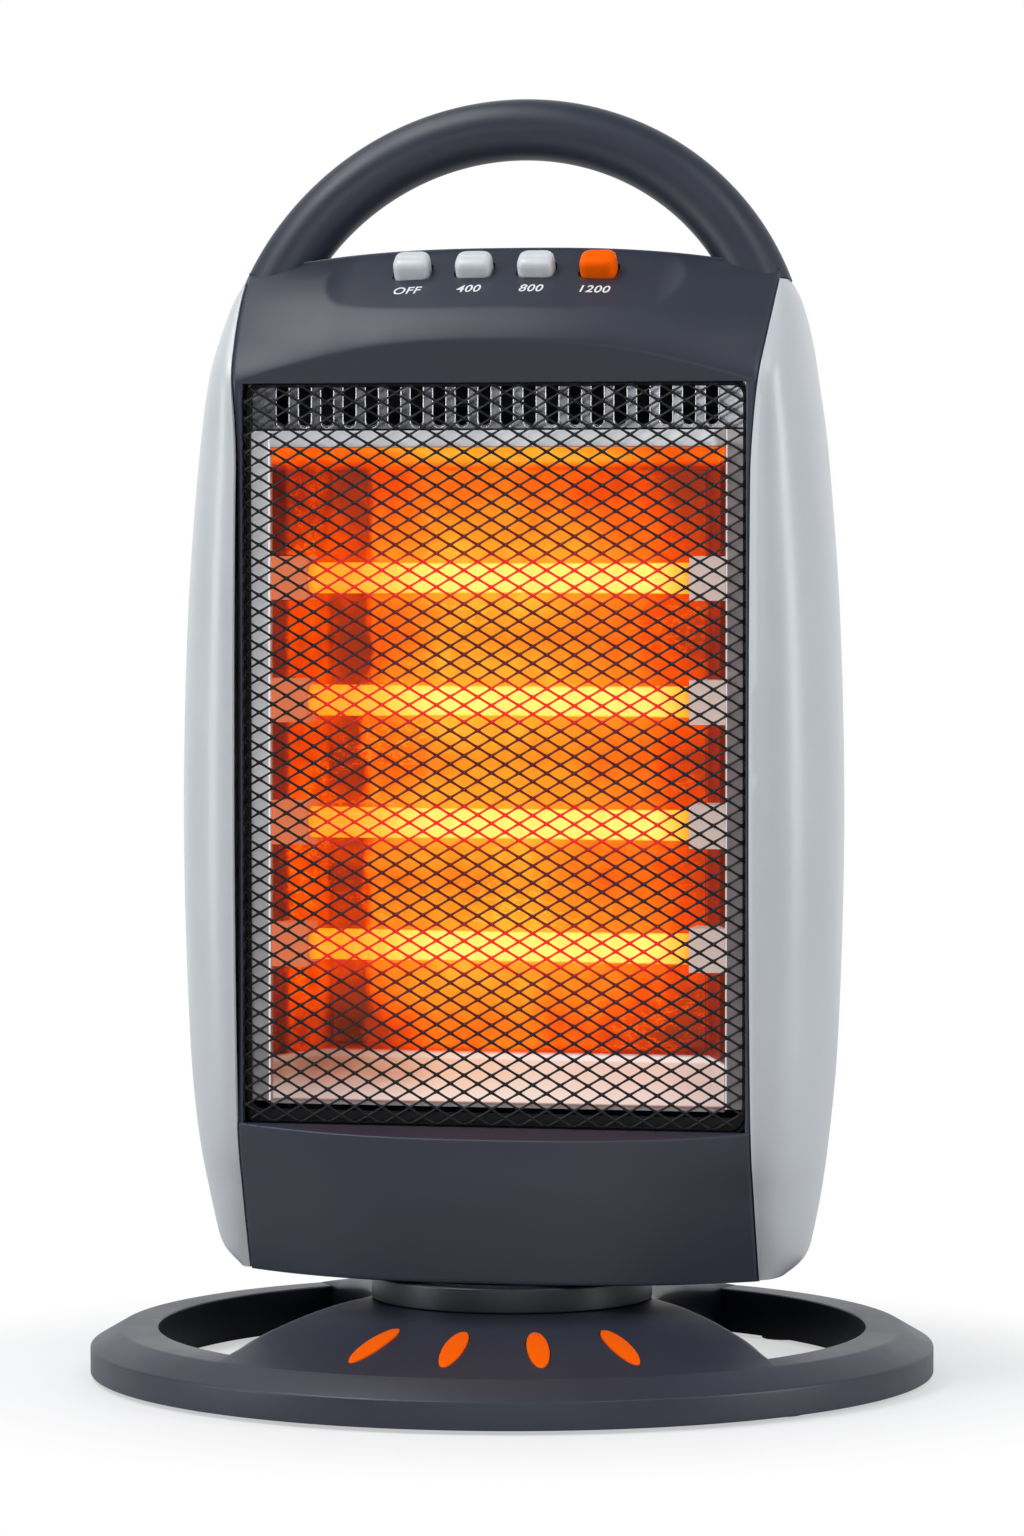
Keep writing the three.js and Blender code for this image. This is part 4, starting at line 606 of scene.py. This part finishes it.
def bridge_edge():
    """The bridge's right-hand outline in plan, front to back, and how far each point's edge is rounded."""
    r, tip = RING_BEVEL, math.pi / 2 - 0.004
    toe, heel = -math.acos(BRIDGE_TOE), math.acos(BRIDGE_HEEL)
    front = [(r * math.cos(a), r * math.sin(a)) for a in np.linspace(-tip, toe, 50)[:-1]]
    side = [(BRIDGE_TOE * r, r * math.sin(toe)), *BRIDGE_SIDE, (BRIDGE_HEEL * r, r * math.sin(heel))]
    side = spline(side, 161)
    back = [(r * math.cos(a), r * math.sin(a)) for a in np.linspace(heel, tip, 40)[1:]]
    along = np.concatenate([[0], np.cumsum(np.hypot(*np.diff(side, axis=0).T))])
    near_end = np.minimum(along, along[-1] - along)
    soft = smoothstep(np.clip(near_end / ROUND_REACH, 0, 1))
    rounds = np.concatenate([np.full(len(front), DOME_SHARP), DOME_SHARP + (DOME_ROUND - DOME_SHARP) * soft,
                             np.full(len(back), DOME_SHARP)])
    return np.vstack([front, side, back]), rounds


def bridge_shape():
    """Rows from the left side wall over the dome to the right side wall."""
    edge, rounds = bridge_edge()
    across = np.linspace(-1, 1, 121)
    arc = np.linspace(0, math.pi / 2, 7)[:-1]
    rows = []
    for i, (outer, radius) in enumerate(zip(edge, rounds)):
        run = edge[min(i + 1, len(edge) - 1)] - edge[max(i - 1, 0)]
        out = np.array([run[1], -run[0]]) / np.hypot(*run)
        inner = outer - out * min(radius, outer[0] * 0.5)
        drop = min(radius, max(0.15, dome_height(np.hypot(*inner)) - RING_TOP + 1.0))
        side = [(*outer, BRIDGE_FOOT)]
        for a in arc:
            p = inner + (outer - inner) * math.cos(a)
            side.append((*p, dome_height(np.hypot(*p)) - drop * (1 - math.sin(a))))
        right, x = np.array(side), across * inner[0]
        middle = np.stack([x, np.full(len(x), inner[1]), dome_height(np.hypot(x, inner[1]))], -1)
        rows.append(np.vstack([right * (-1, 1, 1), middle, right[::-1]]))
    return grid(rows)


def underplate_shape():
    """The plate that closes the bridge from below."""
    edge = bridge_edge()[0]
    half, y = np.maximum(edge[:, 0] - PLATE_INSET, 1.0), edge[:, 1] * (1 - PLATE_INSET / RING_BEVEL)
    return closed([[(-a, b, PLATE_LOW), (a, b, PLATE_LOW), (a, b, PLATE_HIGH), (-a, b, PLATE_HIGH)]
                   for a, b in zip(half, y)], flip=True)


def oval(angle, rim, grow=0.0, steps=64):
    """A closed oval on the front slope; rim holds (size, height over the dome)."""
    a = np.linspace(0, 2 * math.pi, steps, endpoint=False)
    tilt, rows = OVAL_TILT * angle, []
    for size, height in rim:
        x, y = (OVAL_WIDE + grow) * np.cos(a) * size, (OVAL_LONG + grow) * np.sin(a) * size
        x, y = x * math.cos(tilt) - y * math.sin(tilt), x * math.sin(tilt) + y * math.cos(tilt) - OVAL_AT
        z = dome_height(np.hypot(x, y)) + height
        x, y = x * math.cos(angle) - y * math.sin(angle), x * math.sin(angle) + y * math.cos(angle)
        rows.append(np.stack([x, y, z], -1))
    return closed(rows)


add("base_ring", ring_shape(), "base", BASE, ["base_shell"], smooth=50)
bridge = add("base_bridge", bridge_shape(), "base", BASE, (), smooth=50)
thicken(bridge)
settle(bridge)
add("underplate", underplate_shape(), "base", BLACK, ["base_underplate"], smooth=0)
OVAL_ANGLES = [math.radians((i - 1.5) * OVAL_PITCH) for i in range(4)]
for angle in OVAL_ANGLES:
    cut(bridge, oval(angle, [(1, -1.5), (1, 4)], OVAL_GAP, 48))
for i, angle in enumerate(OVAL_ANGLES, 1):
    inlay = oval(angle, [(size, height * OVAL_RISE) for size, height in OVAL_RIM])
    add(f"oval_{i}", inlay, "base", ORANGE, [f"base_inlay_{i}"])
add("collar", lathe(rounded(COLLAR_LINE, 0.6, 5), 128), "base", COLLAR, ["swivel_collar"],
    smooth=60)

# -------------------- head


def core_half(z):
    """Half the head's width between its side panels."""
    t = np.clip((z - FLARE_FROM) / (RIDGE_SIDE - FLARE_FROM), 0, 1)
    return CORE_HALF + CORE_FLARE * smoothstep(t)


FRONT_SIDE = spline([(s, z) for z, s, m in FRONT] + [(a, b) for a, b, c, d in TOP], 600)
FRONT_MIDDLE = spline([(m, z) for z, s, m in FRONT] + [(c, d) for a, b, c, d in TOP], 600)
BACK_SIDE = [(RIDGE_Y, RIDGE_SIDE)] + [(a, b) for a, b, c, d in BACK]
BACK_MIDDLE = [(RIDGE_Y, RIDGE_MIDDLE)] + [(c, d) for a, b, c, d in BACK]
T_STEPS, W_STEPS = np.linspace(0, 1, 81), np.linspace(0, 1, 501)


def front_table():
    """The front's y over how far across it lies and how far up, both from 0 to 1."""
    table = []
    for t in T_STEPS:
        swell = 1 - t**BULGE
        line = FRONT_SIDE * (1 - swell) + FRONT_MIDDLE * swell
        w = (line[:, 1] - HEAD_BOTTOM) / (line[-1, 1] - HEAD_BOTTOM)
        table.append(np.interp(W_STEPS, w, line[:, 0]))
    return np.array(table)


TABLE = front_table()


def ridge(t):
    """The ridge's height over how far across it lies, from 0 to 1."""
    return RIDGE_SIDE + (RIDGE_MIDDLE - RIDGE_SIDE) * (1 - np.abs(t) ** BULGE)


def core_front(x, z):
    t = np.clip(np.abs(x) / core_half(z), 0, 1)
    w = np.clip((z - HEAD_BOTTOM) / (ridge(t) - HEAD_BOTTOM), 0, 1)
    a, b = t * (len(T_STEPS) - 1), w * (len(W_STEPS) - 1)
    i, j = np.minimum(a.astype(int), len(T_STEPS) - 2), np.minimum(b.astype(int), len(W_STEPS) - 2)
    fa, fb = a - i, b - j
    return ((TABLE[i, j] * (1 - fb) + TABLE[i, j + 1] * fb) * (1 - fa)
            + (TABLE[i + 1, j] * (1 - fb) + TABLE[i + 1, j + 1] * fb) * fa)


def soft_max(a, b, round_off):
    return (a + b + np.sqrt((a - b) ** 2 + round_off**2)) / 2


def front_y(x, z):
    """Where the moulding's face lies: the bulged core, cut back by the window, brow, sill and recess."""
    brow = WINDOW_FACE - (z - WINDOW_HIGH) * math.tan(BROW)
    sill = WINDOW_FACE - (WINDOW_LOW - z) / math.tan(SILL)
    relief = np.where(z > WINDOW_HIGH, brow, np.where(z < WINDOW_LOW, sill, WINDOW_FACE))
    drop = ARCH * (x / ARCH_HALF) ** 2 / math.cos(SLOPE)
    control = CREASE_Y + (z - CREASE_Z + drop) / math.tan(SLOPE)
    control = control - CONTROL_DROP * np.maximum(np.abs(x) - CONTROL_END, 0) ** 2
    return soft_max(soft_max(core_front(x, z), relief, 0.45), control, 0.4)


def side_walls(edge, y):
    """The moulding's right and left walls, from its edge to the split."""
    wall = np.stack([edge, edge * (1, 0, 1) + (0, y, 0)], 1)
    return wall, wall * (-1, 1, 1)


def spans(first, *parts):
    """Values through several spans, each (end, count), from the first value on."""
    values = [float(first)]
    for end, count in parts:
        values += list(np.linspace(values[-1], end, count + 1)[1:])
    return np.array(values)


def front_shape():
    """The front moulding's face with its open window, and its side walls."""
    split = SPLIT_Y - SPLIT_GAP
    inner = spans(-WINDOW_HALF, (WINDOW_HALF, 200))
    lip = np.array([0.35, 0.65, 0.85, 1.0])
    share = np.abs(inner) / (CORE_HALF + CORE_FLARE)
    lines = [(np.full(len(inner), z), z)
             for z in spans(HEAD_BOTTOM + 0.6, (WINDOW_LOW - 8, 44), (WINDOW_LOW, 20), (WINDOW_HIGH, 90))]
    lines += [(WINDOW_HIGH + (ridge(share) - 0.02 - WINDOW_HIGH) * w,
               WINDOW_HIGH + (RIDGE_SIDE - 0.02 - WINDOW_HIGH) * w) for w in spans(0, (1, 96))[1:]]
    rows = []
    for z_inner, z_edge in lines:
        zs = z_inner[-1] + (z_edge - z_inner[-1]) * lip
        xs = WINDOW_HALF + (core_half(zs) - WINDOW_HALF) * lip
        x = np.concatenate([-xs[::-1], inner, xs])
        z = np.concatenate([zs[::-1], z_inner, zs])
        edge = np.clip((np.abs(x) - core_half(z) + CORE_EDGE) / CORE_EDGE, 0, 1)
        y = front_y(x, z) + CORE_EDGE * (1 - np.sqrt(np.clip(1 - edge**2, 0, 1)))
        rows.append(np.stack([x, y, z], -1))
    lower = [rows[0] + (0, 2.0 * (1 - math.cos(a)), -0.6 * math.sin(a))
             for a in np.linspace(0, math.pi / 2, 6)[1:]]
    floor, last = lower[-1].copy(), rows[-1].copy()
    floor[:, 1] = last[:, 1] = split
    rows = np.array([floor] + lower[::-1] + rows + [last])
    x, z = rows[..., 0], rows[..., 2]
    cx, cz = (x[:-1, :-1] + x[1:, 1:]) / 2, (z[:-1, :-1] + z[1:, 1:]) / 2
    window = (np.abs(cx) < WINDOW_HALF) & (cz > WINDOW_LOW) & (cz < WINDOW_HIGH)
    return grid(rows, keep=~window), side_walls(rows[1:, -1], split)


def back_shape():
    """The back shell and its side walls."""
    split = SPLIT_Y + SPLIT_GAP
    t = np.linspace(-1, 1, 161)
    swell = (1 - np.abs(t) ** BULGE)[None, :, None]
    line = spline(BACK_SIDE, 150)[:, None] * (1 - swell) + spline(BACK_MIDDLE, 150)[:, None] * swell
    y, z = line[..., 0], line[..., 1]
    rows = np.stack([t[None] * core_half(z), np.maximum(y, split), z], -1)
    floor = rows[-1].copy()
    floor[:, 1] = split
    return grid(np.concatenate([rows, floor[None]])), side_walls(rows[:, -1], split)


def on_control(points, x=0.0, along=KEY_UP):
    """Points drawn on the control surface: x across, y up the slope, z out of it."""
    p = np.asarray(points, float)
    y = CREASE_Y + (along + p[:, 1]) * math.cos(SLOPE) - p[:, 2] * math.sin(SLOPE)
    z = CREASE_Z + (along + p[:, 1]) * math.sin(SLOPE) + p[:, 2] * math.cos(SLOPE)
    return np.stack([p[:, 0] + x, y, z], -1)


def key_x(i):
    return (i - 1.5) * KEY_PITCH


def add_moulding(name, face, node, holes):
    """A shell of the head with its holes."""
    moulding = add(f"{name}_moulding", face, "head", DARK, [node], smooth=50)
    thicken(moulding)
    settle(moulding)
    cut(moulding, joined(holes))


def add_cheeks(name, walls, flipped):
    """The two walls of a shell that stand behind the side panels."""
    for i, wall in enumerate(walls):
        cheek = grid(wall, flip=i == flipped)
        add(f"{name}_cheek_{'rl'[i]}", cheek, "head", DARK, (), smooth=50)


def slot_cutter(x, z):
    r = AIR_HIGH / 2
    outline = [(AIR_LONG / 2 - r + r * math.cos(a), r * math.sin(a))
               for a in np.linspace(-math.pi / 2, math.pi / 2, 9)]
    outline += [(-px, -py) for px, py in outline]
    return prism(outline, 60, lambda p: np.stack([p[:, 0] + x, 20 + p[:, 2], z - p[:, 1]], -1))


def louvre(x, y, z):
    """A slanted fin behind an air slot; it hides the inside of the head."""
    corners = [(y, z + 4.8), (y - 7, z - 7.2), (y - 7, z - 8.4), (y, z + 3.6)]
    points, faces = grid([[(x + s * FIN_HALF, a, b) for a, b in corners] for s in (-1, 1)], wrap_columns=True)
    return points, [*faces, (0, 1, 2, 3), (7, 6, 5, 4)]


KEY_HOLE = rounded_rectangle(15.6, 12.2, 3.4)
face, walls = front_shape()
add_moulding("front", face, "front_housing",
             [prism(KEY_HOLE, 30, lambda p, x=key_x(i): on_control(p - (0, 0, 15), x)) for i in range(4)])
add_cheeks("front", walls, 1)

AIR_SLOTS = [(side * AIR_X, y, z) for z, y in AIR_ROWS.items() for side in (-1, 1)]
face, walls = back_shape()
add_moulding("rear", face, "rear_housing", [slot_cutter(x, z) for x, y, z in AIR_SLOTS])
add("rear_louvres", joined([louvre(*slot) for slot in AIR_SLOTS]), "head", DARK, (), smooth=0)
add_cheeks("rear", walls, 0)


def panel_shape(side):
    """A side panel: a half-ellipse in plan at each height, between the front's edge and the back's."""
    z = PANEL_LOW + (PANEL_HIGH - PANEL_LOW) * (1 - np.cos(np.linspace(0, math.pi, 141))) / 2
    width, back = spline(PANEL, 400), spline(BACK_SIDE, 400)[::-1]
    front_line = np.interp(z, FRONT_SIDE[:, 1], FRONT_SIDE[:, 0])
    back_line = np.interp(z, back[:, 1], back[:, 0])
    flat = core_half(z) + PANEL_GAP
    bulge = np.interp(z, width[:, 0], width[:, 1]) - flat
    angles = np.linspace(0, math.pi, 49)
    rows = []
    for k in range(len(z)):
        middle, depth = (front_line[k] + back_line[k]) / 2, (back_line[k] - front_line[k]) / 2
        rows.append(np.stack([side * (flat[k] + bulge[k] * np.sin(angles)), middle - depth * np.cos(angles),
                              np.full(len(angles), z[k])], -1))
    low, high = rows[0].copy(), rows[-1].copy()
    low[:, 0], high[:, 0] = side * flat[0], side * flat[-1]
    return grid([low] + rows + [high], flip=side < 0)


for side, name in ((1, "right"), (-1, "left")):
    panel = add(f"panel_{name}", panel_shape(side), "head", SILVER, [f"side_panel_{name}"],
                smooth=50)
    thicken(panel)
    soften(panel, 0.5)
    settle(panel)

angles = np.radians(np.linspace(-HANDLE_SPAN, HANDLE_SPAN, 121))
lean = np.array([0, math.sin(HANDLE_LEAN), math.cos(HANDLE_LEAN)])
path = np.outer(np.sin(angles), (1, 0, 0)) + np.outer(np.cos(angles), lean)
path = path * HANDLE_ARC + (0, HANDLE_Y, HANDLE_Z)
add("carrying_handle", tube_along(path, HANDLE_BAR, 48, flat=(0, lean[2], -lean[1])), "head", DARK,
    ["handle"], smooth=60)


def key_shape(x):
    """A cap with rounded shoulders and a shallow dished top, on its stem."""
    rings = []
    for z, inset in KEY_LINE:
        o = rounded_rectangle(KEY_WIDE - 2 * inset, KEY_DEEP - 2 * inset, max(3.4 - inset * 0.5, 0.8), 8)
        rings.append([(a, b, z) for a, b in o])
    stem = prism(rounded_rectangle(5, 4, 0.8), 8, lambda p: p - (0, STEM_BACK, 13))
    points, faces = joined([closed(rings), stem])
    return on_control(points, x), faces


def mark(text, x):
    """A function mark printed on the control surface below a key."""
    curve = bpy.data.curves.new(f"mark_{text}", "FONT")
    curve.body, curve.align_x, curve.align_y = text, "CENTER", "CENTER"
    curve.size, curve.shear, curve.space_character = MARK_SIZE * MM, 0.14, 1.06
    curve.extrude, curve.offset = 0.04 * MM, 0.06 * MM
    made = bpy.data.objects.new(f"mark_{text}", curve)
    bpy.context.collection.objects.link(made)
    drop = ARCH * (x / ARCH_HALF) ** 2
    across = math.atan(2 * ARCH * x / ARCH_HALF**2)
    tilt = Matrix.Rotation(SLOPE, 4, "X") @ Matrix.Rotation(across, 4, "Y") @ Matrix.Diagonal(MARK_SCALE)
    out = Vector((0, -math.sin(SLOPE), math.cos(SLOPE)))
    place = Vector(on_control([[x, 0, 0]], 0, MARK_UP)[0]) * MM + out * (MARK_LIFT - drop) * MM
    made.matrix_world = HEAD_PLACE @ Matrix.Translation(place) @ tilt
    mesh = made_mesh(made)
    solid = bpy.data.objects.new(f"print_{text}", mesh)
    solid.matrix_world = made.matrix_world
    bpy.data.objects.remove(made)
    bpy.context.collection.objects.link(solid)
    mesh.materials.clear()
    mesh.materials.append(WHITE_INK)
    bpy.context.view_layer.update()
    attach(solid, "head")


KEYS = {"key_off": "off_key", "key_400": "low_key", "key_800": "middle_key", "key_1200": "high_key"}
for i, (node, body) in enumerate(KEYS.items()):
    paint, slot = (ORANGE, "orange_plastic") if node == "key_1200" else (GREY, "grey_plastic")
    add(f"cap_{node}", key_shape(key_x(i)), body, paint, [node], smooth=60)
for i, text in enumerate(("OFF", "400", "800", "1200")):
    mark(text, key_x(i))

# -------------------- guard

STRAND_WIDTH = np.array([0.66, 0.49, 0.43, 0.43, 0.49, 0.66])  # half-widths, widest at the knots
STRAND = [(-1, 0.10), (-0.6, 0.36), (0.6, 0.36), (1, 0.10), (0.7, -0.2), (-0.7, -0.2)]  # its section
STRAND_TILT = 0.16


def folded(u, v, w):
    """A point of the flat net, w in front of its sheet, carried to its place on the folded guard."""
    qu, qv = np.clip(u, -NET_U, NET_U), np.clip(v, -NET_V, NET_V)
    du, dv = u - qu, v - qv
    far = np.hypot(du, dv)
    nu, nv = (np.where(far > 1e-9, d / np.maximum(far, 1e-9), 0) for d in (du, dv))
    s = far - (CORNER - FOLD)
    bend = np.clip(s / FOLD, 0, math.pi / 2)
    out = np.where(s > 0, (CORNER - FOLD) + FOLD * np.sin(bend), far)
    back = np.where(s > 0, FOLD * (1 - np.cos(bend)) + np.maximum(s - FOLD * math.pi / 2, 0), 0)
    x = qu + nu * (out + w * np.sin(bend))
    z = qv + nv * (out + w * np.sin(bend)) + NET_MIDDLE
    return np.stack([x, GUARD_Y + back - w * np.cos(bend), z], -1)


def net_shape():
    """The net's strands, two to each diamond, round the folded edge."""
    reach = FOLD * math.pi / 2 - FOLD + RETURN - 0.6
    a, b = MESH_WIDE / 2, MESH_HIGH / 2
    columns, rows = int((GUARD_HALF + reach) / a) + 1, int((NET_V + CORNER + reach) / b) + 1
    across = np.array([b, -a]) / math.hypot(a, b)
    along = np.linspace(0, 1, len(STRAND_WIDTH))[:, None]
    offset = np.array([s for s, _ in STRAND])[None, :, None] * STRAND_WIDTH[:, None, None]
    strands = []
    for i in range(-columns, columns):
        for j in range(-rows, rows + 1):
            if (i + j) % 2:
                continue
            for rise in (1, -1):
                p, q = np.array([i * a, j * b]), np.array([(i + 1) * a, (j + rise) * b])
                mid = np.abs(p + q) / 2
                if math.hypot(max(mid[0] - NET_U, 0), max(mid[1] - NET_V, 0)) > CORNER + reach:
                    continue
                uv = (p + (q - p) * along)[:, None] + across * (1, rise) * offset
                w = np.broadcast_to([lift + s * STRAND_TILT * rise for s, lift in STRAND], uv.shape[:2])
                strands.append(grid(folded(uv[..., 0], uv[..., 1], w), wrap_columns=True, flip=rise < 0))
    return joined(strands)


def frame_line(half, low, high, radius):
    """A rounded rectangle in X and Z."""
    return [(x, z + (low + high) / 2) for x, z in rounded_rectangle(2 * half, high - low, radius, 8)]


def guard_hem():
    """The flat hem behind the net, all round its edge and widest along the bottom."""
    outer = frame_line(GUARD_HALF, GUARD_LOW - 2.4, GUARD_HIGH + 2.0, CORNER)
    inner = frame_line(GUARD_HALF - 1.5, GUARD_LOW + 4.5, GUARD_HIGH - 0.5, CORNER - 1.5)
    front, back = GUARD_Y + RETURN - 0.7, GUARD_Y + RETURN + 0.2
    return grid([[(xo, front, zo), (xo, back, zo), (xi, back, zi), (xi, front, zi)]
                 for (xo, zo), (xi, zi) in zip(outer, inner)], wrap_rows=True, wrap_columns=True)


def guard_rim():
    """The wire that closes the net's folded edge."""
    path = [(x, GUARD_Y + RETURN, z) for x, z in frame_line(GUARD_HALF, GUARD_LOW, GUARD_HIGH, CORNER)]
    return tube_along(path + path[:1], 0.8, 10, flat=(0, 1, 0), ends=False)


add("net", joined([net_shape(), guard_rim(), guard_hem()]), "head", NET, ["guard"], smooth=50)

# -------------------- reflector strip and lamps


def slot_line(i, low, r, count):
    """The outline of the strip's slot number i, in X and Z, with count points to each round end."""
    x, arc = (i - (SLOT_COUNT - 1) / 2) * SLOT_PITCH, np.linspace(0, math.pi, count)
    return ([(x + r * math.cos(a), SLOT_HIGH + r * math.sin(a)) for a in arc]
            + [(x - r * math.cos(a), low - r * math.sin(a)) for a in arc])


def strip_shape():
    """The slotted strip, as a plate with round-ended upright slots."""
    curve = bpy.data.curves.new("strip", "CURVE")
    curve.dimensions, curve.fill_mode, curve.extrude = "2D", "BOTH", STRIP_THICK * MM
    h, low, high = STRIP_HALF, STRIP_LOW, STRIP_HIGH
    slots = [slot_line(i, SLOT_LOW, SLOT_R, 13) for i in range(SLOT_COUNT)]
    for loop in [[(-h, low), (h, low), (h, high), (-h, high)]] + slots:
        s = curve.splines.new("POLY")
        s.points.add(len(loop) - 1)
        for point, (a, b) in zip(s.points, loop):
            point.co = (a * MM, b * MM, 0, 1)
        s.use_cyclic_u = True
    made = bpy.data.objects.new("strip", curve)
    bpy.context.collection.objects.link(made)
    mesh = made_mesh(made)
    points = np.array([v.co[:] for v in mesh.vertices]) / MM
    faces = [list(f.vertices) for f in mesh.polygons]
    bpy.data.objects.remove(made)
    return np.stack([points[:, 0], STRIP_Y - points[:, 2], points[:, 1]], -1), faces


def slot_rims():
    """The raised lip round every slot."""
    rims = []
    for i in range(SLOT_COUNT):
        path = [(x, LIP_Y, z) for x, z in slot_line(i, LIP_LOW, LIP_R, 11)]
        rims.append(tube_along(path + path[:1], LIP_BAR, 8, flat=(0, 1, 0), ends=False))
    return joined(rims)


add("slotted_strip", strip_shape(), "head", STRIP, ["vent_baffle"], smooth=30)
add("slot_lips", slot_rims(), "head", POLISHED, (), smooth=60)

TUBE_X = [-80.5, -78, *np.linspace(-76, 76, 39), 78, 80.5]
for i in range(4):
    tube = tube_along([(x, LAMP_Y, LAMP_TOP - i * LAMP_PITCH) for x in TUBE_X], LAMP_R, 40)
    nodes = [f"lamp_tube_{i + 1}", f"lamp_filament_{i + 1}"]
    add(f"lamp_{i + 1}", tube, "head", GLOW, nodes, smooth=60)

# -------------------- CAD nodes that keep their shape

FINISH = {
    RUBBER: ["foot_1", "foot_2", "foot_3", "foot_4", "cord_gland"],
    STEEL: ["swivel_washer", "retaining_ring", "heat_shield", "thermal_cutout"],
    HOT_STEEL: ["lamp_bracket_left", "lamp_bracket_right"],
    BLACK: ["tip_switch_body", "swivel_turntable", "switch_block"],
    GREY: ["tip_switch_plunger"],
    REFLECTOR: ["reflector_pan", "reflector_side_left", "reflector_side_right"],
    COLD_CERAMIC: ["terminal_block"],
    CERAMIC: [f"lamp_ceramic_{side}_{i}" for side in ("left", "right") for i in (1, 2, 3, 4)],
}
for paint, names in FINISH.items():
    for name in names:
        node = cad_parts[name]
        node.data.materials.clear()
        node.data.materials.append(paint)
        if paint == CERAMIC:
            soften(node, 1.6, 50)

# -------------------- floor, light and camera

FLOOR_RADIUS = 1.5  # metres, like everything below
LIGHT_COLOR, LIGHT_AIM = (0.96, 0.98, 1), Vector((0, 0, 0.25))
SOFTBOXES = {  # place, size and power in watts
    "overhead": ((-1.0, -0.1, 2.3), (1.4, 1.0), 17),
    "key": ((-1.3, -0.8, 2.1), (0.8, 0.8), 16),
    "left": ((-2.0, -0.6, 0.5), (0.7, 1.3), 14),
    "right": ((2.0, -0.5, 0.8), (0.6, 1.6), 19),
    "front": ((0.2, -2.9, 0.7), (2.4, 0.9), 15),
    "high right": ((0.9, -1.1, 2.1), (0.6, 0.6), 7),
}
EYE_AWAY, EYE_UP, EYE_SIDE, EYE_DOWN = 2.3, 0.326, math.radians(3), math.radians(2.212)


def floor_paint():
    """White floor; the camera sees it lifted towards white, with the object's shadow kept."""
    g = material("white floor")
    bump = g.bump(0.02, 0.0002, g.noise(g.where(), 300, 3))
    seen = g.larger(g.ray("Camera"), g.times(g.mirrored(), 0.4))
    tone = g.mix(seen, (0.50, 0.50, 0.51, 1), (0.86, 0.86, 0.87, 1))
    lit = g.add("BsdfPrincipled", Base_Color=tone, Roughness=0.6, Specular_IOR_Level=0.1, Normal=bump)
    white = g.add("Emission", Color=(1, 1, 1, 1), Strength=1.0)
    away = g.add("VectorMath", operation="LENGTH", i0=g.where()).outputs["Value"]
    lift = g.times(seen, g.band(away, 0.165, 0.29, 0.52, 1.0, smooth=True))
    return g.output(g.add("MixShader", i0=lift, i1=lit.outputs[0], i2=white.outputs[0]))


def studio():
    """White to the camera and to mirrored rays that head for the backdrop, a soft light to all others."""
    g = Graph(bpy.data.worlds.new("studio"))
    back = g.split(g.add("TexCoord").outputs["Generated"])[1]
    white = g.add("Background", Color=(1, 1, 1, 1), Strength=1.0)
    strength = g.band(back, 0.1, 0.95, 0.18, 0.70, smooth=True)
    soft = g.add("Background", Color=(0.93, 0.96, 1.0, 1), Strength=strength)
    seen = g.larger(g.times(g.mirrored(), g.band(back, 0.5, 1.0, smooth=True)), g.ray("Camera"))
    return g.output(g.add("MixShader", i0=seen, i1=soft.outputs[0], i2=white.outputs[0]), "OutputWorld")


angles = np.linspace(0, 2 * math.pi, 96, endpoint=False)
disc = [(FLOOR_RADIUS / MM * math.cos(a), FLOOR_RADIUS / MM * math.sin(a), 0) for a in angles]
floor = new_object("floor", (disc, [range(96)]))
floor.data.materials.append(floor_paint())
bpy.context.scene.world = studio()

for name, (place, size, power) in SOFTBOXES.items():
    light = bpy.data.lights.new(name, "AREA")
    light.shape, light.size, light.size_y = "RECTANGLE", *size
    light.energy, light.color = power, LIGHT_COLOR
    lamp = bpy.data.objects.new(name, light)
    lamp.location = place
    lamp.rotation_euler = (LIGHT_AIM - Vector(place)).to_track_quat("-Z", "Y").to_euler()
    bpy.context.collection.objects.link(lamp)

camera = bpy.data.cameras.new("camera")
camera.lens, camera.sensor_width = 138, 36
camera.clip_start, camera.clip_end = 0.05, 50
eye = bpy.data.objects.new("camera", camera)
eye.location = (EYE_AWAY * math.sin(EYE_SIDE), -EYE_AWAY * math.cos(EYE_SIDE), EYE_UP)
eye.rotation_euler = (math.pi / 2 - EYE_DOWN, 0, EYE_SIDE)
bpy.context.collection.objects.link(eye)
bpy.context.scene.camera = eye
bpy.context.scene.view_settings.view_transform = "Standard"
